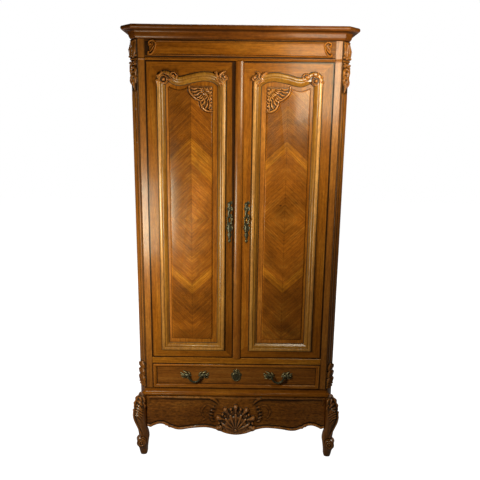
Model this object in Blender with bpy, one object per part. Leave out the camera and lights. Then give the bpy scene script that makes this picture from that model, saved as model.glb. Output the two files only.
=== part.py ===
import math

import bmesh
import bpy
from mathutils import Vector

# Case, in metres, from the floor up
HEIGHT = 2.100
CASE_WIDTH = 0.961
CASE_DEPTH = 0.476
LEG_HEIGHT = 0.374
DRAWER_OPENING = 0.1325
MID_RAIL_HEIGHT = 0.0315
FRIEZE_HEIGHT = 0.088
CORNICE_HEIGHT = 0.063
CORNICE_OVERHANG = 0.044
CORNICE_BED = 0.030
TOP_BOARD_THICKNESS = 0.012

# Posts, rails and boards
POST_SIZE = 0.061
POST_CANT = 0.027
FLUTE_DEPTH = 0.004
CARVING_RELIEF = 0.006
LOWER_DROP = 0.130
UPPER_DROP = 0.125
BEAD_RADIUS = 0.0045
RAIL_THICKNESS = 0.030
RAIL_CHAMFER = 0.002
SIDE_THICKNESS = 0.022
SIDE_TOP_RAIL = 0.140
SIDE_ARCH_HEIGHT = 0.190
SIDE_ARCH_RISE = 0.035
REAR_POST = 0.045
REAR_FOOT_TAPER = 0.008
PANEL_THICKNESS = 0.010
PANEL_SINK = 0.006
FIELD_RELIEF = 0.004
FIELD_BEVEL = 0.007
SIDE_PANEL_BORDER = 0.030
BACK_BOARD_THICKNESS = 0.010
BACK_BOARD_LOW = 0.350
FLOOR_THICKNESS = 0.018

# Base moulding, apron, shell and legs
BASE_MOULDING_HEIGHT = 0.036
BASE_MOULDING_RELIEF = 0.018
BASE_MOULDING_RETURN = 0.009
APRON_SHADOW_GAP = 0.009
APRON_DEPTH = 0.215
APRON_THICKNESS = 0.020
SHELL_WIDTH = 0.200
SHELL_HEIGHT = 0.170
SHELL_RELIEF = 0.020
SHELL_LOBES = 9
LEG_BLOCK_LOW = 0.175
KNEE_REACH = 0.0395
ANKLE_REACH = 0.0195
SCROLL_REACH = 0.0300
FOOT_REACH = 0.0170
ANKLE_WIDTH = 0.058
FOOT_WIDTH = 0.043
SCROLL_RADIUS = 0.016
SCROLL_LENGTH = 0.040

# Inside fittings
SHELF_HEIGHT = 1.640
SHELF_THICKNESS = 0.018
SHELF_SETBACK = 0.030
CLEAT_HEIGHT = 0.026
CLEAT_WIDTH = 0.024
RAIL_DROP = 0.075
HANGING_RAIL_RADIUS = 0.0125
SOCKET_RADIUS = 0.021
SOCKET_LENGTH = 0.014
SOCKET_FLOOR = 0.004
RUNNER_LEDGE = 0.022
RUNNER_THICKNESS = 0.020
RUNNER_GUIDE = 0.045

# Doors
DOOR_THICKNESS = 0.022
DOOR_GAP = 0.002
HINGE_GAP = 0.0025
MEETING_GAP = 0.002
ASTRAGAL_WIDTH = 0.039
ASTRAGAL_RELIEF = 0.011
CENTRE_MARGIN = 0.0604
STILE_MARGIN = 0.0512
BOTTOM_MARGIN = 0.0426
TOP_MARGIN = 0.0374
MOULDING_WIDTH = 0.028
MOULDING_RELIEF = 0.013
TOP_CURVE_DEPTH = 0.052
SHOULDER_RADIUS = 0.024
VOLUTE_RADIUS = 0.013
FIELD_STRIP = 0.029
FIELD_HINGE_STRIP = 0.021
FIELD_TOP_STRIP = 0.010
PIVOT_INSET = 0.012
PIVOT_DEPTH = 0.006
PIVOT_RADIUS = 0.0025
PIVOT_LENGTH = 0.010
PIVOT_COLLAR = 0.0038
PIVOT_PLATE_LENGTH = 0.045
PIVOT_PLATE_THICKNESS = 0.0025

# Lock, key and bolts
ESCUTCHEON_OFFSET = 0.040
ESCUTCHEON_LENGTH = 0.196
ESCUTCHEON_WIDTH = 0.030
ESCUTCHEON_THICKNESS = 0.004
KEYHOLE_HEIGHT = 0.702
KEY_RADIUS = 0.0028
KEY_SHANK = 0.020
KEY_BOW_RADIUS = 0.010
KEY_WIRE = 0.0024
KEY_BIT = 0.009
LOCK_LENGTH = 0.076
LOCK_HEIGHT = 0.070
LOCK_THICKNESS = 0.0115
LOCK_WALL = 0.0012
LOCK_BOLT_LENGTH = 0.040
LOCK_BOLT_HEIGHT = 0.012
LOCK_BOLT_RISE = 0.018
LOCK_THROW = 0.012
DOOR_BOLT_SIZE = 0.008
DOOR_BOLT_LENGTH = 0.100
DOOR_BOLT_INSET = 0.012
DOOR_BOLT_THROW = 0.012
STUD_RADIUS = 0.002

# Drawer and its pulls
DRAWER_GAP = 0.0015
DRAWER_FRONT_THICKNESS = 0.022
DRAWER_FRAME = 0.020
DRAWER_FRAME_RELIEF = 0.004
DRAWER_FIELD_SINK = 0.006
DRAWER_BACK_SPACE = 0.0435
DRAWER_SIDE_HEIGHT = 0.100
DRAWER_SIDE_THICKNESS = 0.012
DRAWER_BOTTOM_THICKNESS = 0.006
DRAWER_BOTTOM_RAISE = 0.008
DRAWER_ESCUTCHEON_WIDTH = 0.054
DRAWER_ESCUTCHEON_HEIGHT = 0.068
PULL_OFFSET = 0.209
PULL_LIFT = 0.003
ROSETTE_SPREAD = 0.052
ROSETTE_RADIUS = 0.0165
STALK_RADIUS = 0.006
STALK_LENGTH = 0.021
BAIL_STANDOFF = 0.016
BAIL_DROP = 0.039
BAIL_PIN_RADIUS = 0.0028
BAIL_KNOP_RADIUS = 0.0048

# Fits
JOINT_GAP = 0.0003

# Levels and planes that follow from the sizes above
HALF_CASE = CASE_WIDTH / 2
HALF_OPENING = HALF_CASE - POST_SIZE
BACK_Y = (CASE_DEPTH + CORNICE_OVERHANG) / 2
FRONT_Y = BACK_Y - CASE_DEPTH
BASE_TOP = LEG_HEIGHT
DRAWER_TOP = BASE_TOP + DRAWER_OPENING
DOOR_LOW = DRAWER_TOP + MID_RAIL_HEIGHT
CASE_TOP = HEIGHT - CORNICE_HEIGHT
DOOR_HIGH = CASE_TOP - FRIEZE_HEIGHT
POST_BACK = FRONT_Y + POST_SIZE
SIDE_INNER = HALF_CASE - SIDE_THICKNESS
REAR_INNER = HALF_CASE - REAR_POST
REAR_FRONT = BACK_Y - REAR_POST
BOARD_FRONT = BACK_Y - BACK_BOARD_THICKNESS
PANEL_INNER = HALF_CASE - PANEL_SINK - PANEL_THICKNESS
BASE_LOW = BASE_TOP - BASE_MOULDING_HEIGHT
APRON_HIGH = BASE_LOW - APRON_SHADOW_GAP
LEG_INNER = HALF_CASE - POST_CANT
HINGE_EDGE = HALF_OPENING - HINGE_GAP
PIVOT_X = HINGE_EDGE - PIVOT_INSET
PIVOT_Y = FRONT_Y + PIVOT_DEPTH
LEAF_LOW = DOOR_LOW + DOOR_GAP
LEAF_HIGH = DOOR_HIGH - DOOR_GAP
KEY_Z = DOOR_LOW + KEYHOLE_HEIGHT
LOCK_Y = FRONT_Y + DOOR_THICKNESS / 2
BOLT_X = ASTRAGAL_WIDTH / 2 + MEETING_GAP / 2 + DOOR_BOLT_INSET
DRAWER_LOW = BASE_TOP + DRAWER_GAP
DRAWER_HIGH = DRAWER_TOP - DRAWER_GAP
DRAWER_HALF = HALF_OPENING - DRAWER_GAP
DRAWER_FIELD_Y = FRONT_Y + DRAWER_FIELD_SINK
DRAWER_SIDE_LOW = DRAWER_LOW + 2 * DRAWER_GAP
PULL_Z = (DRAWER_LOW + DRAWER_HIGH) / 2 + PULL_LIFT
BAIL_Y = DRAWER_FIELD_Y - BAIL_STANDOFF

LEFT, RIGHT = -1, 1
HAND = {LEFT: "left", RIGHT: "right"}

# Colour, roughness and metallic share of each finish
WALNUT = ((0.30, 0.135, 0.045), 0.38, 0.0)
CARVED_WALNUT = ((0.24, 0.095, 0.030), 0.42, 0.0)
VENEER = ((0.33, 0.150, 0.050), 0.32, 0.0)
PLAIN_WOOD = ((0.42, 0.280, 0.150), 0.65, 0.0)
OLD_BRASS = ((0.23, 0.190, 0.080), 0.45, 0.9)
KEY_BRASS = ((0.62, 0.430, 0.130), 0.30, 1.0)
STEEL = ((0.32, 0.310, 0.300), 0.40, 1.0)


def clear_scene():
    for item in list(bpy.data.objects):
        bpy.data.objects.remove(item)


def make_object(name, solid):
    mesh = bpy.data.meshes.new(name)
    solid.to_mesh(mesh)
    solid.free()
    item = bpy.data.objects.new(name, mesh)
    bpy.context.scene.collection.objects.link(item)
    return item


def place(name, solid, finish, origin=(0.0, 0.0, 0.0), parent=None):
    bmesh.ops.recalc_face_normals(solid, faces=solid.faces)
    bmesh.ops.translate(solid, verts=solid.verts, vec=-Vector(origin))
    item = make_object(name, solid)
    colour, roughness, metallic = finish
    material = bpy.data.materials.new(name + "_finish")
    material.use_nodes = True
    shader = material.node_tree.nodes["Principled BSDF"]
    shader.inputs["Base Color"].default_value = (*colour, 1.0)
    shader.inputs["Roughness"].default_value = roughness
    shader.inputs["Metallic"].default_value = metallic
    item.data.materials.append(material)
    item.location = origin
    if parent:
        item.parent = parent
        item.location = Vector(origin) - parent.location
    return item


def joint_axis(name, point, parent=None):
    axis = bpy.data.objects.new(name, None)
    axis.empty_display_size = 0.05
    bpy.context.scene.collection.objects.link(axis)
    axis.location = point
    axis["world_point"] = point
    if parent:
        axis.parent = parent
        axis.location = Vector(point) - Vector(parent["world_point"])
    return axis


def hang(name, solid, finish, axis):
    item = place(name, solid, finish, axis["world_point"])
    item.parent = axis
    item.location = (0.0, 0.0, 0.0)
    return item


def loft(rings, closed=False):
    solid = bmesh.new()
    rows = [[solid.verts.new(point) for point in ring] for ring in rings]
    pairs = list(zip(rows, rows[1:]))
    if closed:
        pairs.append((rows[-1], rows[0]))
    for low, high in pairs:
        for index in range(len(low)):
            after = (index + 1) % len(low)
            solid.faces.new((low[index], low[after], high[after], high[index]))
    if not closed:
        solid.faces.new(rows[0])
        solid.faces.new(rows[-1])
    bmesh.ops.recalc_face_normals(solid, faces=solid.faces)
    return solid


def along_x(outline, x):
    return [Vector((x, y, z)) for y, z in outline]


def along_y(outline, y, side=1):
    return [Vector((side * x, y, z)) for x, z in outline]


def along_z(outline, z, side=1):
    return [Vector((side * x, y, z)) for x, y in outline]


def box(low, high):
    outline = rectangle(low[0], low[1], high[0], high[1])
    return loft([along_z(outline, low[2]), along_z(outline, high[2])])


def side_box(side, near, far, y_low, y_high, z_low, z_high):
    xs = sorted((side * near, side * far))
    return box((xs[0], y_low, z_low), (xs[1], y_high, z_high))


def rectangle(left, low, right, high):
    return [(left, low), (right, low), (right, high), (left, high)]


def arc(centre, radius, start, end, steps):
    points = []
    for step in range(steps + 1):
        angle = math.radians(start + (end - start) * step / steps)
        points.append((centre[0] + radius * math.cos(angle), centre[1] + radius * math.sin(angle)))
    return points


def disc(axis, centre, radius, low, high, sides=16):
    outline = arc((0.0, 0.0), radius, 0, 360 - 360 / sides, sides - 1)
    rings = []
    for depth in (low, high):
        if axis == "x":
            rings.append([Vector((depth, centre[0] + a, centre[1] + b)) for a, b in outline])
        elif axis == "y":
            rings.append([Vector((centre[0] + a, depth, centre[1] + b)) for a, b in outline])
        else:
            rings.append([Vector((centre[0] + a, centre[1] + b, depth)) for a, b in outline])
    return loft(rings)


def smooth(points, steps, before=None, after=None):
    knots = [before or points[0], *points, after or points[-1]]
    curve = []
    for first, start, end, last in zip(knots, knots[1:], knots[2:], knots[3:]):
        for step in range(steps):
            t = step / steps
            curve.append(tuple(
                0.5 * (2 * b + (c - a) * t + (2 * a - 5 * b + 4 * c - d) * t * t
                       + (3 * b - a - 3 * c + d) * t ** 3)
                for a, b, c, d in zip(first, start, end, last)))
    curve.append(tuple(points[-1]))
    return curve


def offset_outline(points, distance, closed=True):
    moved = []
    count = len(points)
    for index, point in enumerate(points):
        here = Vector(point)
        before = Vector(points[index - 1]) if closed or index else None
        after = Vector(points[(index + 1) % count]) if closed or index < count - 1 else None
        normals = []
        if before is not None:
            way = (here - before).normalized()
            normals.append(Vector((way.y, -way.x)))
        if after is not None:
            way = (after - here).normalized()
            normals.append(Vector((way.y, -way.x)))
        mitre = sum(normals, Vector((0.0, 0.0))).normalized()
        moved.append(tuple(here + mitre * (distance / mitre.dot(normals[0]))))
    return moved


def combine(solid, tool, operation):
    main = make_object("main", solid)
    other = make_object("other", tool)
    step = main.modifiers.new("combine", "BOOLEAN")
    step.operation = operation
    step.solver = "EXACT"
    step.object = other
    graph = bpy.context.evaluated_depsgraph_get()
    mesh = bpy.data.meshes.new_from_object(main.evaluated_get(graph))
    result = bmesh.new()
    result.from_mesh(mesh)
    bpy.data.objects.remove(main)
    bpy.data.objects.remove(other)
    return result


def cut(solid, tool):
    return combine(solid, tool, "DIFFERENCE")


def join(solid, tool):
    return combine(solid, tool, "UNION")


def case_plan():
    return [
        (-HALF_CASE, BACK_Y),
        (-HALF_CASE, FRONT_Y + POST_CANT),
        (-LEG_INNER, FRONT_Y),
        (LEG_INNER, FRONT_Y),
        (HALF_CASE, FRONT_Y + POST_CANT),
        (HALF_CASE, BACK_Y),
    ]


def cornice_profile():
    out, high = CORNICE_OVERHANG, CORNICE_HEIGHT
    turns = [(math.cos(math.radians(a)), math.sin(math.radians(a))) for a in (0, 30, 60, 90)]
    ovolo = [(0.24 * out * s, 0.50 * high * (1 - c)) for c, s in turns]
    cove = [(out * (0.88 - 0.58 * c), high * (0.54 + 0.20 * s)) for c, s in turns]
    nosing = arc((out - 0.13 * high, 0.87 * high), 0.13 * high, -60, 90, 5)
    return [(-CORNICE_BED, 0.0), *ovolo, *cove, *nosing, (-CORNICE_BED, high)]


def cornice_piece(name, first, last):
    plan = case_plan()
    lines = [(offset_outline(plan, out, closed=False), CASE_TOP + up) for out, up in cornice_profile()]
    rings = []
    for index in range(first, last + 1):
        ring = []
        for line, z in lines:
            spot = Vector(line[index])
            if index in (first, last):
                inward = index + 1 if index == first else index - 1
                spot += (Vector(line[inward]) - spot).normalized() * JOINT_GAP / 2
            ring.append(Vector((spot.x, spot.y, z)))
        rings.append(ring)
    place(name, loft(rings), WALNUT)


def build_cornice():
    cornice_piece("cornice_left", 0, 2)
    cornice_piece("cornice_front", 2, 3)
    cornice_piece("cornice_right", 3, 5)
    outline = offset_outline(case_plan(), -CORNICE_BED - JOINT_GAP, closed=False)
    low = CASE_TOP + JOINT_GAP
    solid = loft([along_z(outline, low), along_z(outline, low + TOP_BOARD_THICKNESS)])
    place("cornice_top_board", solid, PLAIN_WOOD)


def post_outline(bulge, grow):
    lean = grow * math.tan(math.radians(22.5))
    start = Vector((LEG_INNER + lean, FRONT_Y - grow))
    end = Vector((HALF_CASE + grow, FRONT_Y + POST_CANT - lean))
    outward = Vector((1.0, -1.0)).normalized()
    shares = (0, 0.2, 0.35, 0.5, 0.65, 0.8, 1)
    cant = [start.lerp(end, t) + outward * bulge * math.sin(math.pi * t) for t in shares]
    return [(HALF_OPENING, FRONT_Y - grow), *cant, (HALF_CASE + grow, POST_BACK), (HALF_OPENING, POST_BACK)]


def post_levels():
    low = BASE_TOP + JOINT_GAP
    high = CASE_TOP - JOINT_GAP
    drop = DOOR_HIGH - UPPER_DROP
    relief = CARVING_RELIEF
    lower = [(0.0, 0.3), (0.10, 0.9), (0.25, 0.4), (0.45, 1.0), (0.65, 0.5), (0.80, 0.8), (1.0, 0.0)]
    upper = [(0.0, 0.0), (0.25, 0.6), (0.40, 0.4), (0.60, 1.0), (0.75, 0.5), (0.90, 0.9)]
    capital = [(0.15, 0.4), (0.45, 1.0), (0.75, 0.7), (0.92, 1.0), (1.0, 0.6)]
    levels = [(low + LOWER_DROP * t, relief * b, 0.0) for t, b in lower]
    levels.append((low + LOWER_DROP + 2 * POST_CANT, -FLUTE_DEPTH, 0.0))
    levels.append((drop - 2 * POST_CANT, -FLUTE_DEPTH, 0.0))
    levels += [(drop + UPPER_DROP * t, relief * b, 0.0) for t, b in upper]
    for height, grow in arc((0.0, 0.0), BEAD_RADIUS, 180, 0, 4):
        levels.append((DOOR_HIGH + BEAD_RADIUS + height, 0.0, grow))
    bead_top = DOOR_HIGH + 2 * BEAD_RADIUS
    levels += [(bead_top + (high - bead_top) * t, relief * b, 0.0) for t, b in capital]
    return levels


def build_post(side):
    rings = [along_z(post_outline(bulge, grow), z, side) for z, bulge, grow in post_levels()]
    place(HAND[side] + "_corner_post", loft(rings), CARVED_WALNUT)


def pivot_plate(side, low, high, clearance):
    half = PIVOT_COLLAR + JOINT_GAP + clearance
    outer = PIVOT_X + half
    inner = outer - PIVOT_PLATE_LENGTH - 2 * clearance
    return side_box(side, inner, outer, PIVOT_Y - half, PIVOT_Y + half, low, high)


def door_bolt_hole(low, high):
    half = DOOR_BOLT_SIZE / 2 + JOINT_GAP
    return side_box(LEFT, BOLT_X - half, BOLT_X + half, LOCK_Y - half, LOCK_Y + half, low, high)


def build_frieze():
    back = FRONT_Y + RAIL_THICKNESS
    bead = [(FRONT_Y - h, DOOR_HIGH + BEAD_RADIUS + v) for h, v in arc((0.0, 0.0), BEAD_RADIUS, -90, 90, 6)]
    top = CASE_TOP - JOINT_GAP
    outline = [(back, DOOR_HIGH), *bead, (FRONT_Y, top), (back, top)]
    half = HALF_OPENING - JOINT_GAP
    rail = loft([along_x(outline, -half), along_x(outline, half)])
    pocket = DOOR_HIGH + PIVOT_PLATE_THICKNESS + JOINT_GAP
    for side in (LEFT, RIGHT):
        rail = cut(rail, pivot_plate(side, DOOR_HIGH - BEAD_RADIUS, pocket, JOINT_GAP))
    rail = cut(rail, door_bolt_hole(DOOR_HIGH - BEAD_RADIUS, DOOR_HIGH + DOOR_BOLT_THROW))
    place("frieze_rail", rail, WALNUT)
    build_frieze_panel()


def build_frieze_panel():
    low = DOOR_HIGH + 4 * BEAD_RADIUS
    high = CASE_TOP - 1.5 * BEAD_RADIUS
    tall = high - low
    tip = HALF_OPENING - 0.2 * tall
    scroll = 0.24 * tall
    end = [(tip, low), (tip, low + 0.18 * tall), (tip - 0.22 * tall, low + 0.40 * tall)]
    end += arc((tip - 0.30 * tall, high - scroll), scroll, -40, 90, 5)
    outline = end + [(-x, z) for x, z in reversed(end)]
    rise = 0.10 * tall
    rings = [
        along_y(outline, FRONT_Y - JOINT_GAP),
        along_y(outline, FRONT_Y - 0.6 * rise),
        along_y(offset_outline(outline, -0.4 * rise), FRONT_Y - rise),
    ]
    place("frieze_panel", loft(rings), CARVED_WALNUT)


def build_mid_rail():
    back = FRONT_Y + RAIL_THICKNESS
    edge = RAIL_CHAMFER
    outline = [
        (back, DRAWER_TOP),
        (FRONT_Y + edge, DRAWER_TOP),
        (FRONT_Y, DRAWER_TOP + edge),
        (FRONT_Y, DOOR_LOW - edge),
        (FRONT_Y + edge, DOOR_LOW),
        (back, DOOR_LOW),
    ]
    half = HALF_OPENING - JOINT_GAP
    rail = loft([along_x(outline, -half), along_x(outline, half)])
    pocket = DOOR_LOW - PIVOT_PLATE_THICKNESS - JOINT_GAP
    for side in (LEFT, RIGHT):
        rail = cut(rail, pivot_plate(side, pocket, DOOR_LOW + BEAD_RADIUS, JOINT_GAP))
    rail = cut(rail, door_bolt_hole(DOOR_LOW - DOOR_BOLT_THROW, DOOR_LOW + BEAD_RADIUS))
    place("mid_rail", rail, WALNUT)


def build_side(side):
    front = POST_BACK + JOINT_GAP
    top = CASE_TOP - JOINT_GAP
    arch = [(front + (BACK_Y - front) * t, SIDE_ARCH_HEIGHT + SIDE_ARCH_RISE * math.sin(math.pi * t))
            for t in (0, 0.12, 0.25, 0.38, 0.5, 0.62, 0.75, 0.88, 1)]
    rail = top - SIDE_TOP_RAIL
    window = [(front, rail), (REAR_FRONT, rail), (REAR_FRONT, DOOR_LOW), (front, DOOR_LOW)]
    outline = [*arch, (BACK_Y, top), (front, top), *window]
    frame = loft([along_x(outline, side * SIDE_INNER), along_x(outline, side * HALF_CASE)])
    foot = REAR_FOOT_TAPER
    rings = []
    for z, slim in ((0.0, foot), (SIDE_ARCH_HEIGHT, 0.0), (top, 0.0)):
        square = rectangle(REAR_INNER + slim, REAR_FRONT + slim, HALF_CASE, BACK_Y)
        rings.append(along_z(square, z, side))
    place(HAND[side] + "_side_frame", join(loft(rings), frame), WALNUT)
    build_side_panel(side, front, rail)


def build_side_panel(side, front, high):
    edge = rectangle(front, DOOR_LOW + JOINT_GAP, REAR_FRONT - JOINT_GAP, high - JOINT_GAP)
    strip = HALF_CASE - PANEL_SINK - FIELD_RELIEF
    field = offset_outline(edge, -SIDE_PANEL_BORDER)
    crown = offset_outline(field, -FIELD_BEVEL)
    rings = [
        along_x(edge, side * PANEL_INNER),
        along_x(edge, side * strip),
        along_x(field, side * strip),
        along_x(crown, side * (strip + FIELD_RELIEF)),
    ]
    place(HAND[side] + "_side_panel", loft(rings), VENEER)


def build_back():
    edge = REAR_INNER - JOINT_GAP
    names = ("left", "centre", "right")
    width = 2 * edge / len(names)
    for index, name in enumerate(names):
        left = -edge + index * width
        solid = box((left + JOINT_GAP / 2, BOARD_FRONT, BACK_BOARD_LOW),
                    (left + width - JOINT_GAP / 2, BACK_Y, CASE_TOP - JOINT_GAP))
        place("back_board_" + name, solid, PLAIN_WOOD)


def mirrored(right_half):
    return right_half + [(-x, y) for x, y in reversed(right_half)]


def build_floor():
    gap = JOINT_GAP
    right = [
        (HALF_OPENING - gap, FRONT_Y + RAIL_THICKNESS + gap),
        (HALF_OPENING - gap, POST_BACK + gap),
        (SIDE_INNER - gap, POST_BACK + gap),
        (SIDE_INNER - gap, REAR_FRONT - gap),
        (REAR_INNER - gap, REAR_FRONT - gap),
        (REAR_INNER - gap, BOARD_FRONT - gap),
    ]
    outline = mirrored(right)
    solid = loft([along_z(outline, DOOR_LOW - FLOOR_THICKNESS), along_z(outline, DOOR_LOW)])
    place("compartment_floor", solid, PLAIN_WOOD)


def build_shelf():
    gap = JOINT_GAP
    right = [
        (PANEL_INNER - gap, POST_BACK + SHELF_SETBACK),
        (PANEL_INNER - gap, REAR_FRONT - gap),
        (REAR_INNER - gap, REAR_FRONT - gap),
        (REAR_INNER - gap, BOARD_FRONT - gap),
    ]
    outline = mirrored(right)
    solid = loft([along_z(outline, SHELF_HEIGHT), along_z(outline, SHELF_HEIGHT + SHELF_THICKNESS)])
    place("hat_shelf", solid, PLAIN_WOOD)
    high = SHELF_HEIGHT - gap
    for side in (LEFT, RIGHT):
        cleat = side_box(side, PANEL_INNER - gap - CLEAT_WIDTH, PANEL_INNER - gap,
                         POST_BACK + gap, REAR_FRONT - gap, high - CLEAT_HEIGHT, high)
        place(HAND[side] + "_shelf_cleat", cleat, PLAIN_WOOD)


def build_hanging_rail():
    centre = ((POST_BACK + REAR_FRONT) / 2, SHELF_HEIGHT - RAIL_DROP)
    wall = PANEL_INNER - JOINT_GAP
    reach = wall - SOCKET_FLOOR - JOINT_GAP
    place("hanging_rail", disc("x", centre, HANGING_RAIL_RADIUS, -reach, reach, 20), STEEL)
    for side in (LEFT, RIGHT):
        cup = disc("x", centre, SOCKET_RADIUS, side * wall, side * (wall - SOCKET_LENGTH), 20)
        bore = disc("x", centre, HANGING_RAIL_RADIUS + JOINT_GAP,
                    side * (wall - SOCKET_FLOOR), side * (wall - 2 * SOCKET_LENGTH), 20)
        place(HAND[side] + "_rail_socket", cut(cup, bore), OLD_BRASS)


def build_runner(side):
    top = DRAWER_SIDE_LOW - JOINT_GAP
    wall = SIDE_INNER - JOINT_GAP
    guide = DRAWER_HALF - DRAWER_GAP + JOINT_GAP * 2
    ledge = guide - RUNNER_LEDGE
    outline = [
        (ledge, top - RUNNER_THICKNESS),
        (wall, top - RUNNER_THICKNESS),
        (wall, top + RUNNER_GUIDE),
        (guide, top + RUNNER_GUIDE),
        (guide, top),
        (ledge, top),
    ]
    ends = (POST_BACK + JOINT_GAP, REAR_FRONT - JOINT_GAP)
    solid = loft([along_y(outline, y, side) for y in ends])
    place(HAND[side] + "_drawer_runner", solid, PLAIN_WOOD)


def build_base_moulding():
    slant = BASE_MOULDING_RETURN / math.sqrt(2)
    path = [
        (-LEG_INNER - slant, FRONT_Y + slant),
        (-LEG_INNER, FRONT_Y),
        (LEG_INNER, FRONT_Y),
        (LEG_INNER + slant, FRONT_Y + slant),
    ]
    tall, out = BASE_MOULDING_HEIGHT, BASE_MOULDING_RELIEF
    profile = [(JOINT_GAP, 0.0), (0.45 * out, 0.0), (0.80 * out, 0.10 * tall), (0.97 * out, 0.26 * tall),
               (out, 0.42 * tall), (0.90 * out, 0.58 * tall), (0.62 * out, 0.66 * tall),
               (0.20 * out, 0.90 * tall), (0.12 * out, tall), (JOINT_GAP, tall)]
    lines = [(offset_outline(path, reach, closed=False), BASE_LOW + up) for reach, up in profile]
    rings = [[Vector((*line[index], z)) for line, z in lines] for index in range(len(path))]
    half = HALF_OPENING - JOINT_GAP
    rail = box((-half, FRONT_Y - 0.1 * out, BASE_LOW), (half, FRONT_Y + RAIL_THICKNESS, BASE_TOP))
    place("base_moulding", join(loft(rings), rail), WALNUT)


def apron_edge():
    half = LEG_INNER - JOINT_GAP
    low = APRON_HIGH - APRON_DEPTH
    knots = [(0.0, 0.0), (0.10, 0.03), (0.185, 0.10), (0.25, 0.155), (0.35, 0.19), (0.50, 0.165),
             (0.63, 0.125), (0.70, 0.13), (0.765, 0.175)]
    curve = smooth(knots, 2, before=(-0.10, 0.03))
    curve += smooth([(0.785, 0.19), (0.87, 0.27), (0.96, 0.19)], 3, before=(0.74, 0.05), after=(1.02, 0.05))
    curve.append((1.0, 0.20))
    return [(half * u, low + APRON_DEPTH * v) for u, v in curve]


def build_apron():
    edge = apron_edge()
    right = [*edge, (LEG_INNER - JOINT_GAP, APRON_HIGH)]
    outline = right + [(-x, z) for x, z in reversed(right[1:])]
    back = FRONT_Y + APRON_THICKNESS
    board = loft([along_y(outline, FRONT_Y), along_y(outline, back)])
    half = HALF_OPENING - JOINT_GAP
    tongue = box((-half, back - 0.4 * APRON_THICKNESS, APRON_HIGH - APRON_THICKNESS),
                 (half, back, BASE_LOW - JOINT_GAP))
    place("apron", join(board, tongue), CARVED_WALNUT)


def shell_ring(share, relief, flute):
    centre = APRON_HIGH - APRON_DEPTH + 0.36 * SHELL_HEIGHT
    up, down = 0.645 * SHELL_HEIGHT, 0.345 * SHELL_HEIGHT
    ring = []
    steps = 6 * SHELL_LOBES
    for step in range(steps):
        angle = 2 * math.pi * step / steps
        lobe = math.cos(SHELL_LOBES * (angle - math.pi / 2) * 1.5)
        reach = share * (1 + 0.06 * lobe * share)
        tall = up if math.sin(angle) > 0 else down
        x = 0.5 * SHELL_WIDTH * reach * math.cos(angle) / 1.06
        z = centre + tall * reach * math.sin(angle) / 1.06
        y = FRONT_Y - JOINT_GAP - SHELL_RELIEF * (relief + flute * lobe)
        ring.append(Vector((x, y, z)))
    return ring


def build_shell():
    rings = [shell_ring(1.0, 0.0, 0.0), shell_ring(1.0, 0.35, 0.1), shell_ring(0.88, 0.80, 0.18),
             shell_ring(0.55, 0.45, 0.12), shell_ring(0.22, 0.70, 0.0)]
    place("apron_shell", loft(rings), CARVED_WALNUT)


def leg_shape():
    knee = HALF_CASE + KNEE_REACH
    ankle_outer = HALF_CASE + ANKLE_REACH
    ankle = (ankle_outer, ankle_outer - ANKLE_WIDTH)
    scroll = (HALF_CASE + SCROLL_REACH, ankle[1] + 0.06 * ANKLE_WIDTH)
    foot_outer = HALF_CASE + FOOT_REACH
    foot = (foot_outer, foot_outer - FOOT_WIDTH)
    block = BASE_LOW - JOINT_GAP
    hip = apron_edge()[-1][1] - 2 * JOINT_GAP
    upper = [(1.0, 0.05), (0.82, 0.55), (0.62, 0.95), (0.43, 1.0), (0.25, 0.88), (0.0, 0.64)]
    shape = [(hip + (block - hip) * t, HALF_CASE + share * (knee - HALF_CASE), LEG_INNER)
             for t, share in upper]
    return shape + [
        (0.84 * hip, HALF_CASE + 0.54 * KNEE_REACH, LEG_INNER - 0.13 * ANKLE_WIDTH),
        (0.64 * hip, *ankle),
        (0.485 * hip, *scroll),
        (0.375 * hip, scroll[0], scroll[1] + 0.05 * ANKLE_WIDTH),
        (0.22 * hip, foot[0] + 0.10 * FOOT_WIDTH, foot[1] - 0.05 * FOOT_WIDTH),
        (0.09 * hip, *foot),
        (0.0, foot[0] - 0.10 * FOOT_WIDTH, foot[1] + 0.10 * FOOT_WIDTH),
    ]


def leg_section(z, outer, inner, side):
    centre = (outer + inner) / 2
    half = (outer - inner) / 2
    y = FRONT_Y + HALF_CASE - centre
    ring = []
    for step in range(14):
        angle = 2 * math.pi * step / 14 - math.pi / 4
        ridge = 1 + 0.05 * math.cos(4 * (angle + math.pi / 4))
        across, along = half * ridge * math.cos(angle), half * ridge * math.sin(angle)
        ring.append(Vector((side * (centre + across), y + along, z)))
    return ring


def leg_block(side):
    rebate = FRONT_Y + APRON_THICKNESS + JOINT_GAP
    upper = post_outline(0.0, 0.0)
    lower = [(HALF_OPENING, rebate), (LEG_INNER, rebate), (LEG_INNER, FRONT_Y),
             (HALF_CASE, FRONT_Y + POST_CANT), (HALF_CASE, POST_BACK), (HALF_OPENING, POST_BACK)]
    high = loft([along_z(upper, BASE_LOW - APRON_SHADOW_GAP / 2, side), along_z(upper, BASE_TOP, side)])
    low = loft([along_z(lower, LEG_BLOCK_LOW, side), along_z(lower, BASE_LOW, side)])
    return join(high, low)


def leg_scroll(side):
    shape = leg_shape()[9]
    across = Vector((side, 1.0, 0.0)).normalized()
    outward = Vector((side, -1.0, 0.0)).normalized()
    corner = Vector((side * HALF_CASE, FRONT_Y, 0.0))
    reach = (shape[1] - HALF_CASE) * math.sqrt(2) - 1.7 * SCROLL_RADIUS
    middle = corner + outward * reach + Vector((0.0, 0.0, shape[0]))
    circle = [outward * a + Vector((0.0, 0.0, b)) for a, b in arc((0, 0), SCROLL_RADIUS, 0, 330, 11)]
    rings = []
    for share in (-0.5, 0.5):
        spot = middle + across * SCROLL_LENGTH * share
        rings.append([spot + point for point in circle])
    return loft(rings)


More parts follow.
